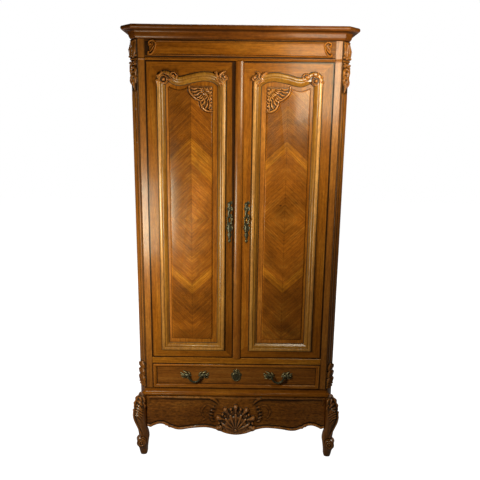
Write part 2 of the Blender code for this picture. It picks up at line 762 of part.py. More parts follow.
def build_leg(side):
    rings = [leg_section(*level, side) for level in smooth(leg_shape(), 2)]
    leg = join(loft(rings), leg_block(side))
    leg = join(leg, leg_scroll(side))
    place(HAND[side] + "_front_leg", leg, CARVED_WALNUT)


def leaf_inner_edge(side):
    half = ASTRAGAL_WIDTH / 2
    return half + MEETING_GAP / 2 if side == LEFT else MEETING_GAP / 2 - half


def panel_line():
    inner = CENTRE_MARGIN + MOULDING_WIDTH / 2
    outer = HALF_OPENING - STILE_MARGIN - MOULDING_WIDTH / 2
    low = DOOR_LOW + BOTTOM_MARGIN + MOULDING_WIDTH / 2
    top = DOOR_HIGH - TOP_MARGIN - MOULDING_WIDTH / 2
    shoulder = arc((outer - SHOULDER_RADIUS, top - SHOULDER_RADIUS), SHOULDER_RADIUS, 0, 125, 7)
    knots = [(0.70, 0.80), (0.48, 0.52), (0.25, 0.22), (0.07, 0.58), (0.0, 1.0)]
    crest = [(inner + (outer - inner) * u, top - TOP_CURVE_DEPTH * v) for u, v in knots]
    curve = smooth([shoulder[-1], *crest], 4, before=shoulder[-2])
    return [(outer, low), *shoulder, *curve[1:], (inner, low)]


def field_line(inset):
    line = panel_line()
    outer, low = line[0]
    inner = line[-1][0]
    edge = MOULDING_WIDTH / 2 + inset
    left = inner + edge + FIELD_STRIP
    right = outer - edge - FIELD_HINGE_STRIP
    dip = DOOR_HIGH - TOP_MARGIN - MOULDING_WIDTH / 2 - 0.80 * TOP_CURVE_DEPTH
    high = dip - MOULDING_WIDTH / 2 - FIELD_TOP_STRIP - inset
    points = []
    for index, (x, z) in enumerate(line):
        share = (x - inner) / (outer - inner)
        ends = index in (0, len(line) - 1)
        level = low + edge + FIELD_STRIP if ends else high + 0.25 * (z - dip)
        points.append((left + share * (right - left), level))
    return points


def moulding_profile():
    half, rise = MOULDING_WIDTH / 2, MOULDING_RELIEF
    seat = JOINT_GAP - PANEL_SINK
    return [(half, JOINT_GAP), (half, 0.30 * rise), (0.80 * half, 0.55 * rise), (0.55 * half, 0.88 * rise),
            (0.20 * half, rise), (-0.15 * half, 0.90 * rise), (-0.45 * half, 0.55 * rise),
            (-0.60 * half, 0.20 * rise), (-half, 0.05 * rise), (-half, seat), (-JOINT_GAP, seat),
            (-JOINT_GAP, JOINT_GAP)]


def volute(side, x, z, rise):
    rings = []
    for share, height in ((1.0, JOINT_GAP), (1.0, 0.65 * rise), (0.80, 0.90 * rise), (0.45, rise)):
        ring = arc((x, z), VOLUTE_RADIUS * share, 0, 345, 15)
        rings.append(along_y(ring, FRONT_Y - height, side))
    return loft(rings)


def build_door_moulding(side, axis):
    line = panel_line()
    offsets = [(offset_outline(line, out), FRONT_Y - up) for out, up in moulding_profile()]
    rings = [[Vector((side * moved[index][0], y, moved[index][1])) for moved, y in offsets]
             for index in range(len(line))]
    solid = loft(rings, closed=True)
    outer = line[0][0]
    top = DOOR_HIGH - TOP_MARGIN - MOULDING_WIDTH / 2
    for inward, down, rise in ((0.85, 1.25, 1.15), (2.65, 0.25, 1.10)):
        x, z = outer - inward * SHOULDER_RADIUS, top - down * SHOULDER_RADIUS
        solid = join(solid, volute(side, x, z, rise * MOULDING_RELIEF))
    hang(HAND[side] + "_door_moulding", solid, CARVED_WALNUT, axis)


def build_door_panel(side, axis):
    edge = offset_outline(panel_line(), -JOINT_GAP)
    strip = FRONT_Y + PANEL_SINK
    rings = [
        along_y(edge, strip + PANEL_THICKNESS, side),
        along_y(edge, strip, side),
        along_y(field_line(0.0), strip, side),
        along_y(field_line(FIELD_BEVEL), strip - FIELD_RELIEF, side),
    ]
    hang(HAND[side] + "_door_panel", loft(rings), VENEER, axis)


def keyhole(side, y_low, y_high):
    x = side * ESCUTCHEON_OFFSET
    clear = KEY_RADIUS + 2 * JOINT_GAP
    slot = box((x - KEY_WIRE / 2 - 2 * JOINT_GAP, y_low, KEY_Z - KEY_BIT - 2 * JOINT_GAP),
               (x + KEY_WIRE / 2 + 2 * JOINT_GAP, y_high, KEY_Z))
    return join(disc("y", (x, KEY_Z), clear, y_low, y_high), slot)


def lock_space(clearance):
    left = leaf_inner_edge(RIGHT) + JOINT_GAP
    half_y = LOCK_THICKNESS / 2 + clearance
    half_z = LOCK_HEIGHT / 2 + clearance
    return box((left - clearance, LOCK_Y - half_y, KEY_Z - half_z),
               (left + LOCK_LENGTH + clearance, LOCK_Y + half_y, KEY_Z + half_z))


def bolt_box(clearance, left, right):
    half_y = LOCK_THICKNESS / 2 - LOCK_WALL - JOINT_GAP + clearance
    half_z = LOCK_BOLT_HEIGHT / 2 + clearance
    middle = KEY_Z + LOCK_BOLT_RISE
    return box((left, LOCK_Y - half_y, middle - half_z), (right, LOCK_Y + half_y, middle + half_z))


def build_door_frame(side, axis):
    back = FRONT_Y + DOOR_THICKNESS
    frame = side_box(side, leaf_inner_edge(side), HINGE_EDGE, FRONT_Y, back, LEAF_LOW, LEAF_HIGH)
    opening = [along_y(panel_line(), y, side) for y in (FRONT_Y - DOOR_GAP, back + DOOR_GAP)]
    frame = cut(frame, loft(opening))
    bore = PIVOT_RADIUS + JOINT_GAP
    depth = PIVOT_LENGTH + 2 * JOINT_GAP
    for low, high in ((LEAF_LOW - DOOR_GAP, LEAF_LOW + depth), (LEAF_HIGH - depth, LEAF_HIGH + DOOR_GAP)):
        frame = cut(frame, disc("z", (side * PIVOT_X, PIVOT_Y), bore, low, high, 20))
    if side == RIGHT:
        frame = cut(frame, lock_space(JOINT_GAP))
        frame = cut(frame, keyhole(side, FRONT_Y - DOOR_GAP, LOCK_Y))
    else:
        frame = cut_bolt_channels(frame)
        edge = -leaf_inner_edge(LEFT)
        frame = cut(frame, bolt_box(2 * JOINT_GAP, edge - LOCK_THROW, edge + DOOR_GAP))
    hang(HAND[side] + "_door_frame", frame, WALNUT, axis)


def cut_bolt_channels(frame):
    depth = DOOR_BOLT_LENGTH + DOOR_BOLT_THROW + 4 * DOOR_GAP
    slot = STUD_RADIUS + JOINT_GAP
    edge = leaf_inner_edge(LEFT)
    for end, way in ((LEAF_HIGH, -1), (LEAF_LOW, 1)):
        levels = sorted((end - way * DOOR_GAP, end + way * depth))
        frame = cut(frame, door_bolt_hole(*levels))
        stud = end + way * (DOOR_GAP / 2 + DOOR_BOLT_LENGTH - 4 * STUD_RADIUS)
        levels = sorted((stud + way * slot, stud - way * (slot + DOOR_BOLT_THROW)))
        frame = cut(frame, side_box(LEFT, edge - DOOR_GAP, BOLT_X, LOCK_Y - slot, LOCK_Y + slot, *levels))
    return frame


def build_door_bolt(name, end, way, axis):
    half = DOOR_BOLT_SIZE / 2
    start = end + way * DOOR_GAP / 2
    levels = sorted((start, start + way * DOOR_BOLT_LENGTH))
    bar = side_box(LEFT, BOLT_X - half, BOLT_X + half, LOCK_Y - half, LOCK_Y + half, *levels)
    stud_z = start + way * (DOOR_BOLT_LENGTH - 4 * STUD_RADIUS)
    stud = disc("x", (LOCK_Y, stud_z), STUD_RADIUS, -BOLT_X, -leaf_inner_edge(LEFT) - JOINT_GAP, 10)
    guide = joint_axis(name + "_guide", (-BOLT_X, LOCK_Y, start), axis)
    hang(name, join(bar, stud), STEEL, guide)


def build_pivot(side, name, face, way):
    plate = pivot_plate(side, *sorted((face, face + way * PIVOT_PLATE_THICKNESS)), 0.0)
    seat = face - way * (DOOR_GAP - JOINT_GAP)
    tip = face - way * (DOOR_GAP + PIVOT_LENGTH)
    inside = face + way * PIVOT_PLATE_THICKNESS / 2
    spot = (side * PIVOT_X, PIVOT_Y)
    solid = join(plate, disc("z", spot, PIVOT_RADIUS, *sorted((inside, tip)), 20))
    if way < 0:
        solid = join(solid, disc("z", spot, PIVOT_COLLAR, *sorted((inside, seat)), 20))
    place(name, solid, STEEL)


def escutcheon_outline(side, share):
    knots = [(0.05, 0.0), (0.17, 0.05), (0.17, 0.10), (0.10, 0.15), (0.17, 0.20), (0.32, 0.28), (0.29, 0.37),
             (0.43, 0.47), (0.46, 0.56), (0.43, 0.66), (0.15, 0.745), (0.26, 0.82), (0.20, 0.91), (0.08, 1.0)]
    curve = smooth(knots, 2)
    low = KEY_Z - 0.55 * ESCUTCHEON_LENGTH
    points = curve + [(-w, t) for w, t in reversed(curve)]
    outline = []
    for w, t in points:
        lean = 0.04 * math.sin(2 * math.pi * t) + 0.30 * max(0.0, t - 0.85) / 0.15
        x = side * ESCUTCHEON_OFFSET + ESCUTCHEON_WIDTH * (share * w + lean)
        outline.append((x, low + ESCUTCHEON_LENGTH * (0.5 + (t - 0.5) * (0.94 + 0.06 * share))))
    return outline


def build_door_escutcheon(side, axis):
    back = FRONT_Y - JOINT_GAP
    edge, crown = escutcheon_outline(side, 1.0), escutcheon_outline(side, 0.5)
    plate = loft([along_y(edge, back), along_y(edge, back - 0.5 * ESCUTCHEON_THICKNESS),
                  along_y(crown, back - ESCUTCHEON_THICKNESS)])
    oval = [(side * ESCUTCHEON_OFFSET + a, KEY_Z + 2.2 * b)
            for a, b in arc((0.0, 0.0), 0.2 * ESCUTCHEON_WIDTH, 0, 337.5, 15)]
    plate = cut(plate, loft([along_y(oval, back - 2 * ESCUTCHEON_THICKNESS), along_y(oval, back + DOOR_GAP)]))
    hang(HAND[side] + "_door_escutcheon", plate, OLD_BRASS, axis)


def build_astragal(axis):
    half, rise = ASTRAGAL_WIDTH / 2, ASTRAGAL_RELIEF
    right = [(0.0, rise), (0.22, 0.93 * rise), (0.38, 0.68 * rise), (0.46, 0.42 * rise), (0.54, 0.42 * rise),
             (0.62, 0.62 * rise), (0.74, 0.62 * rise), (0.80, 0.36 * rise), (1.0, 0.28 * rise),
             (1.0, JOINT_GAP)]
    shape = [(half * u, FRONT_Y - out) for u, out in right]
    outline = shape + [(-x, y) for x, y in reversed(shape[1:])]
    hang("door_astragal", loft([along_z(outline, LEAF_LOW), along_z(outline, LEAF_HIGH)]), WALNUT, axis)


def build_lock(axis):
    case = cut(lock_space(0.0), lock_space(-LOCK_WALL))
    left = leaf_inner_edge(RIGHT) + JOINT_GAP
    case = cut(case, bolt_box(JOINT_GAP / 2, left - DOOR_GAP, left + LOCK_WALL * 2))
    case = cut(case, keyhole(RIGHT, FRONT_Y, LOCK_Y))
    hang("door_lock_case", case, STEEL, axis)
    guide = joint_axis("door_lock_bolt_guide", (left, LOCK_Y, KEY_Z + LOCK_BOLT_RISE), axis)
    hang("door_lock_bolt", bolt_box(0.0, left + JOINT_GAP, left + LOCK_BOLT_LENGTH), OLD_BRASS, guide)


def build_key(axis):
    x = ESCUTCHEON_OFFSET
    front = FRONT_Y - KEY_SHANK
    shank = disc("y", (x, KEY_Z), KEY_RADIUS, front, LOCK_Y + LOCK_THICKNESS / 2 - 3 * LOCK_WALL, 12)
    ring = []
    for angle in range(0, 360, 30):
        way = Vector((0.0, math.cos(math.radians(angle)), math.sin(math.radians(angle))))
        centre = Vector((x, front - KEY_BOW_RADIUS + KEY_WIRE / 2, KEY_Z)) + way * KEY_BOW_RADIUS
        ring.append([centre + way * a + Vector((b, 0.0, 0.0)) for a, b in arc((0, 0), KEY_WIRE, 0, 315, 7)])
    key = join(shank, loft(ring, closed=True))
    inside = LOCK_Y - LOCK_THICKNESS / 2 + LOCK_WALL + JOINT_GAP
    bit = box((x - KEY_WIRE / 2, inside, KEY_Z - KEY_BIT),
              (x + KEY_WIRE / 2, inside + 0.5 * LOCK_THICKNESS, KEY_Z))
    turn = joint_axis("door_key_axis", (x, FRONT_Y, KEY_Z), axis)
    hang("door_key", join(key, bit), KEY_BRASS, turn)


def build_door(side):
    axis = joint_axis(HAND[side] + "_door_axis", (side * PIVOT_X, PIVOT_Y, LEAF_LOW))
    build_door_frame(side, axis)
    build_door_panel(side, axis)
    build_door_moulding(side, axis)
    build_door_escutcheon(side, axis)
    build_pivot(side, HAND[side] + "_upper_pivot", DOOR_HIGH, 1)
    build_pivot(side, HAND[side] + "_lower_pivot", DOOR_LOW, -1)
    return axis


def build_drawer_front(axis):
    edge = rectangle(-DRAWER_HALF, DRAWER_LOW, DRAWER_HALF, DRAWER_HIGH)
    crest = offset_outline(edge, -0.15 * DRAWER_FRAME)
    slope = offset_outline(edge, -0.80 * DRAWER_FRAME)
    field = offset_outline(edge, -DRAWER_FRAME)
    rings = [
        along_y(edge, FRONT_Y + DRAWER_FRONT_THICKNESS),
        along_y(edge, FRONT_Y),
        along_y(crest, FRONT_Y - DRAWER_FRAME_RELIEF),
        along_y(slope, FRONT_Y + 0.35 * DRAWER_FIELD_SINK),
        along_y(field, DRAWER_FIELD_Y),
    ]
    hang("drawer_front", loft(rings), WALNUT, axis)


def build_drawer_box(axis):
    gap = JOINT_GAP
    front = FRONT_Y + DRAWER_FRONT_THICKNESS + gap
    back = BOARD_FRONT - DRAWER_BACK_SPACE
    outer = DRAWER_HALF - DRAWER_GAP
    inner = outer - DRAWER_SIDE_THICKNESS
    top = DRAWER_SIDE_LOW + DRAWER_SIDE_HEIGHT
    for side in (LEFT, RIGHT):
        solid = side_box(side, inner, outer, front, back, DRAWER_SIDE_LOW, top)
        hang("drawer_" + HAND[side] + "_side", solid, PLAIN_WOOD, axis)
    low = DRAWER_SIDE_LOW + DRAWER_BOTTOM_RAISE
    bottom = box((gap - inner, front, low), (inner - gap, back, low + DRAWER_BOTTOM_THICKNESS))
    hang("drawer_bottom", bottom, PLAIN_WOOD, axis)
    rear = box((gap - inner, back - DRAWER_SIDE_THICKNESS, low + DRAWER_BOTTOM_THICKNESS + gap),
               (inner - gap, back, top))
    hang("drawer_back", rear, PLAIN_WOOD, axis)


def build_drawer_escutcheon(axis):
    knots = [(0.12, 0.0), (0.34, 0.14), (0.36, 0.30), (0.34, 0.40), (0.48, 0.50), (0.50, 0.58), (0.38, 0.66),
             (0.20, 0.71), (0.25, 0.80), (0.15, 0.91), (0.03, 1.0)]
    right = [(DRAWER_ESCUTCHEON_WIDTH * w, PULL_Z + DRAWER_ESCUTCHEON_HEIGHT * (t - 0.5))
             for w, t in smooth(knots, 2)]
    outline = mirrored(right)
    back, rise = DRAWER_FIELD_Y - JOINT_GAP, 1.5 * ESCUTCHEON_THICKNESS
    crown = [(0.55 * x, PULL_Z + 0.6 * (z - PULL_Z)) for x, z in outline]
    plate = loft([along_y(outline, back), along_y(outline, back - 0.4 * rise), along_y(crown, back - rise)])
    hang("drawer_escutcheon", plate, OLD_BRASS, axis)


def build_rosette(name, x, way, axis):
    steps = 24
    leaf, neck = [], []
    for step in range(steps):
        angle = 2 * math.pi * step / steps
        reach = ROSETTE_RADIUS * (0.82 + 0.18 * math.cos(6 * angle))
        stretch = 1.18 if math.cos(angle) * way > 0 else 0.85
        leaf.append((x + stretch * reach * math.cos(angle), PULL_Z + reach * math.sin(angle)))
        neck.append((x + STALK_RADIUS * math.cos(angle), PULL_Z + STALK_RADIUS * math.sin(angle)))
    back = DRAWER_FIELD_Y - JOINT_GAP
    crown = [(x + (a - x) * 0.7, PULL_Z + (b - PULL_Z) * 0.7) for a, b in leaf]
    rings = [
        along_y(leaf, back),
        along_y(leaf, back - 0.10 * STALK_LENGTH),
        along_y(crown, back - 0.25 * STALK_LENGTH),
        along_y(neck, back - 0.35 * STALK_LENGTH),
        along_y(neck, back - STALK_LENGTH),
    ]
    reach = 2 * STALK_RADIUS
    bore = disc("x", (BAIL_Y, PULL_Z), BAIL_PIN_RADIUS + JOINT_GAP, x - reach, x + reach, 12)
    hang(name, cut(loft(rings), bore), OLD_BRASS, axis)


def build_bail(side, axis):
    middle = side * PULL_OFFSET
    spread = ROSETTE_SPREAD
    arm = [(1.08, 0.0), (0.86, 0.0), (0.74, 0.06), (0.66, 0.26), (0.58, 0.50), (0.40, 0.76), (0.18, 0.93),
           (0.0, 1.0)]
    width = [1.0, 1.0, 1.15, 1.15, 1.15, 1.2, 1.3]
    points = [(-spread * u, -BAIL_DROP * v) for u, v in arm]
    points += [(-a, b) for a, b in reversed(points[:-1])]
    radii = [BAIL_PIN_RADIUS * share for share in width]
    radii = [*radii, BAIL_KNOP_RADIUS, *reversed(radii)]
    rings = []
    for index, (a, b) in enumerate(points):
        before = Vector(points[max(index - 1, 0)])
        after = Vector(points[min(index + 1, len(points) - 1)])
        way = (after - before).normalized()
        across = Vector((-way.y, 0.0, way.x))
        spot = Vector((middle + a, BAIL_Y, PULL_Z + b))
        ring = arc((0, 0), radii[index], 0, 315, 7)
        rings.append([spot + across * u + Vector((0.0, v, 0.0)) for u, v in ring])
    swing = joint_axis(HAND[side] + "_bail_axis", (middle, BAIL_Y, PULL_Z), axis)
    hang(HAND[side] + "_pull_bail", loft(rings), OLD_BRASS, swing)


def build_drawer():
    axis = joint_axis("drawer_slide", (0.0, FRONT_Y, PULL_Z))
    build_drawer_front(axis)
    build_drawer_box(axis)
    build_drawer_escutcheon(axis)
    for side in (LEFT, RIGHT):
        for way in (LEFT, RIGHT):
            name = HAND[side] + "_pull_" + HAND[way] + "_rosette"
            build_rosette(name, side * PULL_OFFSET + way * ROSETTE_SPREAD, way, axis)
        build_bail(side, axis)


def build_wardrobe():
    clear_scene()
    build_cornice()
    build_frieze()
    build_mid_rail()
    build_back()
    build_floor()
    build_shelf()
    build_hanging_rail()
    build_base_moulding()
    build_apron()
    build_shell()
    for side in (LEFT, RIGHT):
        build_post(side)
        build_side(side)
        build_runner(side)
        build_leg(side)
    left_axis = build_door(LEFT)
    build_door_bolt("upper_door_bolt", LEAF_HIGH, -1, left_axis)
    build_door_bolt("lower_door_bolt", LEAF_LOW, 1, left_axis)
    right_axis = build_door(RIGHT)
    build_astragal(right_axis)
    build_lock(right_axis)
    build_key(right_axis)
    build_drawer()


build_wardrobe()
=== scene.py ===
import math

import bmesh
import bpy
import numpy as np
from mathutils import Matrix, Vector
from mathutils.geometry import tessellate_polygon


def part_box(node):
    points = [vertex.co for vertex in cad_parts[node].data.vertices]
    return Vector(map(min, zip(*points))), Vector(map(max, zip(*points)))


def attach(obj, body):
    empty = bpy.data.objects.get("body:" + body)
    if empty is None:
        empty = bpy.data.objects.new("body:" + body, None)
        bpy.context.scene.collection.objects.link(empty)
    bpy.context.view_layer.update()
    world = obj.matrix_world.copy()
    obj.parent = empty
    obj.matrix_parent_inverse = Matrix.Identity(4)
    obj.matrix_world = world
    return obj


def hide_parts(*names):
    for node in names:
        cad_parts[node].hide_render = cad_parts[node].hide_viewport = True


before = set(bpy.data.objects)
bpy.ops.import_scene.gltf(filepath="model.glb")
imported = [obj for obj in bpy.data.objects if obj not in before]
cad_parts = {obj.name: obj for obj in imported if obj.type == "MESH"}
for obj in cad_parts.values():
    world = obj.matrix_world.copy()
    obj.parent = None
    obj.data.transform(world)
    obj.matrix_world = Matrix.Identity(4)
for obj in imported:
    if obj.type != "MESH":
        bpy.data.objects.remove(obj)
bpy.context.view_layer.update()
print("stage: frame loaded,", len(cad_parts), "nodes")

apronBox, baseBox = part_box("apron"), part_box("base_moulding")
postBox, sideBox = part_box("right_corner_post"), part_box("right_side_frame")
hands = ((-1, "left"), (1, "right"))
gap = 0.0003  # between solids that meet
case = {  # main sizes, taken from the solids
    "front": apronBox[0].y, "back": sideBox[1].y, "half": sideBox[1].x,
    "top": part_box("left_side_frame")[1].z, "opening": postBox[0].x,
    "legInner": apronBox[1].x + gap, "postBack": postBox[1].y,
    "postLow": postBox[0].z, "postHigh": postBox[1].z,
    "baseLow": baseBox[0].z, "baseTop": baseBox[1].z,
}


# lines and meshes
def mm(values):
    return np.asarray(values, float) / 1000


def smoothLine(points, steps=6):
    knots = np.asarray(points, float)
    knots = np.concatenate([2 * knots[:1] - knots[1:2], knots, 2 * knots[-1:] - knots[-2:-1]])
    result = []
    for a, b, c, d in zip(knots, knots[1:], knots[2:], knots[3:]):
        for t in np.linspace(0, 1, steps, endpoint=False):
            result.append(0.5 * (2 * b + (c - a) * t + (2 * a - 5 * b + 4 * c - d) * t**2
                                 + (3 * b - a - 3 * c + d) * t**3))
    return np.array([*result, knots[-2]])


def ovalLine(centre, radii, start, end, steps, shrink=1.0):
    share = np.linspace(0, 1, steps)
    angles = np.radians(start + (end - start) * share)
    reach = np.asarray(radii, float) * (shrink**share)[:, None]
    return np.asarray(centre, float) + reach * np.stack([np.cos(angles), np.sin(angles)], 1)


def moveLine(points, distance, closed=True):
    line = np.asarray(points, float)
    before, after = np.roll(line, 1, 0), np.roll(line, -1, 0)
    if not closed:
        before[0], after[-1] = 2 * line[0] - line[1], 2 * line[-1] - line[-2]
    normals = []
    for way in (line - before, after - line):
        way = way / np.maximum(np.linalg.norm(way, axis=1, keepdims=True), 1e-9)
        normals.append(np.stack([way[:, 1], -way[:, 0]], 1))
    share = np.maximum(1 + (normals[0] * normals[1]).sum(1), 0.25)
    return line + distance * (normals[0] + normals[1]) / share[:, None]


def loftPart(rings, recess=None, closed=False, caps=2):
    rings = np.asarray(rings, float)
    rows, cols = rings.shape[:2]
    faces = []
    for r in range(rows if closed else rows - 1):
        low, high = r * cols, (r + 1) % rows * cols
        for c in range(cols):
            after = (c + 1) % cols
            faces.append((low + c, low + after, high + after, high + c))
    ends = [tuple(reversed(range(cols))), tuple(range((rows - 1) * cols, rows * cols))]
    faces += [] if closed else ends[:caps]
    shade = np.zeros(rows * cols) if recess is None else np.asarray(recess, float).reshape(-1)
    return rings.reshape(-1, 3), faces, shade


def tubePart(path, radii, sides=14):
    ways = np.gradient(path, axis=0)
    ways /= np.linalg.norm(ways, axis=1, keepdims=True)
    turn = np.linspace(0, 2 * math.pi, sides, endpoint=False)
    rings = []
    for spot, way, radius in zip(path, ways, radii):
        across = np.cross(way, (0.0, 1.0, 0.0))
        across /= np.linalg.norm(across)
        lift = np.cross(across, way)
        rings.append([spot + radius * (across * math.cos(a) + lift * math.sin(a)) for a in turn])
    return loftPart(rings)


def spinPart(centre, axis, profile, sides=28):
    axis = Vector(axis).normalized()
    one = axis.orthogonal().normalized()
    two = axis.cross(one)
    turn = np.linspace(0, 2 * math.pi, sides, endpoint=False)
    return loftPart([[Vector(centre) + axis * along + (one * math.cos(a) + two * math.sin(a)) * radius
                      for a in turn] for radius, along in profile])


def fillPart(outlines, y):
    loops = [[Vector((x, z, 0.0)) for x, z in outline] for outline in outlines]
    points = np.concatenate([np.asarray(outline, float) for outline in outlines])
    verts = np.stack([points[:, 0], np.full(len(points), y), points[:, 1]], 1)
    return verts, [tuple(face) for face in tessellate_polygon(loops)], np.zeros(len(verts))


def mirrorPart(part, side):
    return (part[0] * np.array((side, 1.0, 1.0)), *part[1:])


def addPiece(name, body, parts, materials, replaced=(), sharp=38, weld=0.0):
    verts, faces, shade, indices, start = [], [], [], [], 0
    for part in parts:
        verts.append(part[0])
        faces += [tuple(start + i for i in face) for face in part[1]]
        shade.append(part[2])
        indices += [part[3] if len(part) > 3 else 0] * len(part[1])
        start += len(part[0])
    mesh = bpy.data.meshes.new(name)
    mesh.from_pydata(np.concatenate(verts).tolist(), [], faces)
    mesh.polygons.foreach_set("material_index", indices)
    mesh.attributes.new("recess", "FLOAT", "POINT").data.foreach_set("value", np.concatenate(shade))
    work = bmesh.new()
    work.from_mesh(mesh)
    if weld:
        bmesh.ops.remove_doubles(work, verts=work.verts, dist=weld)
    bmesh.ops.recalc_face_normals(work, faces=work.faces)
    work.to_mesh(mesh)
    work.free()
    mesh.polygons.foreach_set("use_smooth", [True] * len(mesh.polygons))
    mesh.set_sharp_from_angle(angle=math.radians(sharp))
    for look in materials:
        mesh.materials.append(looks[look])
    piece = bpy.data.objects.new(name, mesh)
    bpy.context.scene.collection.objects.link(piece)
    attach(piece, body)
    if replaced:
        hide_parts(*replaced)


# carving: every cut or raised form is a stroke with its own width and height along a line
carving = {"gougeEdge": 4.5, "gougeFloor": 0.42, "margin": 0.004, "scrollSteps": 36}
shading = {"rounds": 6, "broadRounds": 45, "fine": 0.55, "broad": 0.75, "broadDepth": 3.0}
relief = {"sink": 0.0030, "foot": 0.0004, "outline": 0.0022, "skirt": 0.0012, "back": 0.0018, "depth": 0.0016}


def lineStroke(line, wide, high, form="round", mode="over"):
    return {"line": np.asarray(line, float), "wide": wide, "high": high, "form": form, "mode": mode}


def stroke(points, wide, high, form="round", mode="over"):
    return lineStroke(smoothLine(points) if len(points) > 2 else points, wide, high, form, mode)


def rayStroke(start, way, reaches, wide, high):
    return stroke([start + reach * way for reach in reaches], mm(wide), mm(high))


def pearl(x, z, radius, high):
    return stroke([(x - 1e-4, z), (x + 1e-4, z)], (radius, radius), (high, high))


def scroll(centre, outer, inner, start, turn, wide, high):
    line = ovalLine(centre, outer, start, start + turn, carving["scrollSteps"], inner / outer)
    return lineStroke(line, wide, high)


def curlPair(look):  # a small scroll on each side
    curl = scroll(*look["curl"], mm(look["curlWide"]), mm(look["curlHigh"]))
    return [*flipStrokes([curl], -1), curl]


def area(points, high, edge):
    return {"line": np.asarray(points, float), "high": high, "edge": edge, "form": "area", "mode": "over"}


def flipStrokes(strokes, side):
    return [{**item, "line": item["line"] * np.array((side, 1.0))} for item in strokes]


def shiftStrokes(strokes, x, z):
    return [{**item, "line": item["line"] + np.array((x, z))} for item in strokes]


def tableStrokes(table):  # rows in mm: strokes and pearls, and those drawn on both sides
    def read(strokes, pearls):
        drawn = [stroke(mm(points), mm(wide), mm(high), *form) for points, wide, high, *form in strokes]
        return drawn + [pearl(*mm(row)) for row in pearls]
    both = read(table.get("bothStrokes", ()), table.get("bothPearls", ()))
    return read(table.get("strokes", ()), table.get("pearls", ())) + flipStrokes(both, -1) + both


def nearLine(px, pz, line, wide):
    steps = np.diff(line, axis=0)
    lengths = np.maximum(np.hypot(steps[:, 0], steps[:, 1]), 1e-9)
    run = np.concatenate([[0.0], np.cumsum(lengths)])
    best, share, reach = np.full(px.shape, 1e9), np.zeros(px.shape), np.full(px.shape, 1e-3)
    stops = np.linspace(0, 1, len(wide))
    for (x, z), step, length, start in zip(line, steps, lengths, run):
        t = np.clip(((px - x) * step[0] + (pz - z) * step[1]) / length**2, 0, 1)
        away = np.hypot(px - x - t * step[0], pz - z - t * step[1])
        along = (start + t * length) / run[-1]
        width = np.interp(along, stops, wide)
        ratio = away / width
        near = ratio < best
        best, share = np.where(near, ratio, best), np.where(near, along, share)
        reach = np.where(near, width, reach)
    return best, share, reach


def insideLine(px, pz, line):
    inside = np.zeros(px.shape, bool)
    for (ax, az), (bx, bz) in zip(line, np.roll(line, -1, 0)):
        if az != bz:
            inside ^= ((az > pz) != (bz > pz)) & (px < (bx - ax) * (pz - az) / (bz - az) + ax)
    return inside


def areaHeight(x, z, item):
    line, edge = item["line"], item["edge"]
    ratio, _, _ = nearLine(x, z, np.concatenate([line, line[:1]]), (edge, edge))
    signed = np.where(insideLine(x, z, line), ratio, -ratio)
    dome = np.sqrt(np.clip(1 - (1 - np.clip(signed, 0, 1)) ** 2, 0, 1))
    return np.where(signed > 0, item["high"] * dome, edge * signed)


def carve(px, pz, strokes, start):
    height = start + np.zeros(px.shape)
    for item in strokes:
        line = item["line"]
        margin = item.get("edge", 0.0) + max(item.get("wide", (0.0,))) + carving["margin"]
        low, high = line.min(0) - margin, line.max(0) + margin
        near = (px >= low[0]) & (px <= high[0]) & (pz >= low[1]) & (pz <= high[1])
        rows, cols = np.where(near.any(1))[0], np.where(near.any(0))[0]
        if len(rows) == 0:
            continue
        part = np.s_[rows[0]:rows[-1] + 1, cols[0]:cols[-1] + 1]
        x, z = px[part], pz[part]
        if item["form"] == "area":
            height[part] = np.maximum(height[part], areaHeight(x, z, item))
            continue
        ratio, share, reach = nearLine(x, z, line, item["wide"])
        tall = np.interp(share, np.linspace(0, 1, len(item["high"])), item["high"])
        inner = np.clip(1 - ratio**2, 0, 1)
        if item["mode"] == "cut":
            height[part] -= np.where(ratio < 1, tall * inner, 0.0)
            continue
        form = np.sqrt(inner)
        if item["form"] == "gouge":
            floor = carving["gougeFloor"]
            form = np.clip((1 - ratio) * carving["gougeEdge"], 0, 1) * (floor + (1 - floor) * ratio**2)
        height[part] = np.maximum(height[part], np.where(ratio < 1, tall * form, -(ratio - 1) * reach))
    return height


def blurGrid(values, rounds):
    result = np.array(values, float)
    for _ in range(rounds):
        wide = np.pad(result, 1, mode="edge")
        result = (2 * result + wide[:-2, 1:-1] + wide[2:, 1:-1] + wide[1:-1, :-2] + wide[1:-1, 2:]) / 6
    return result


def recessOf(height, depth, rounds=shading["broadRounds"]):  # hollows count up to 1, ridges down to -1
    fine = (blurGrid(height, shading["rounds"]) - height) / depth
    broad = (blurGrid(height, rounds) - height) / (shading["broadDepth"] * depth)
    return np.clip(shading["fine"] * fine + shading["broad"] * broad, -1, 1)


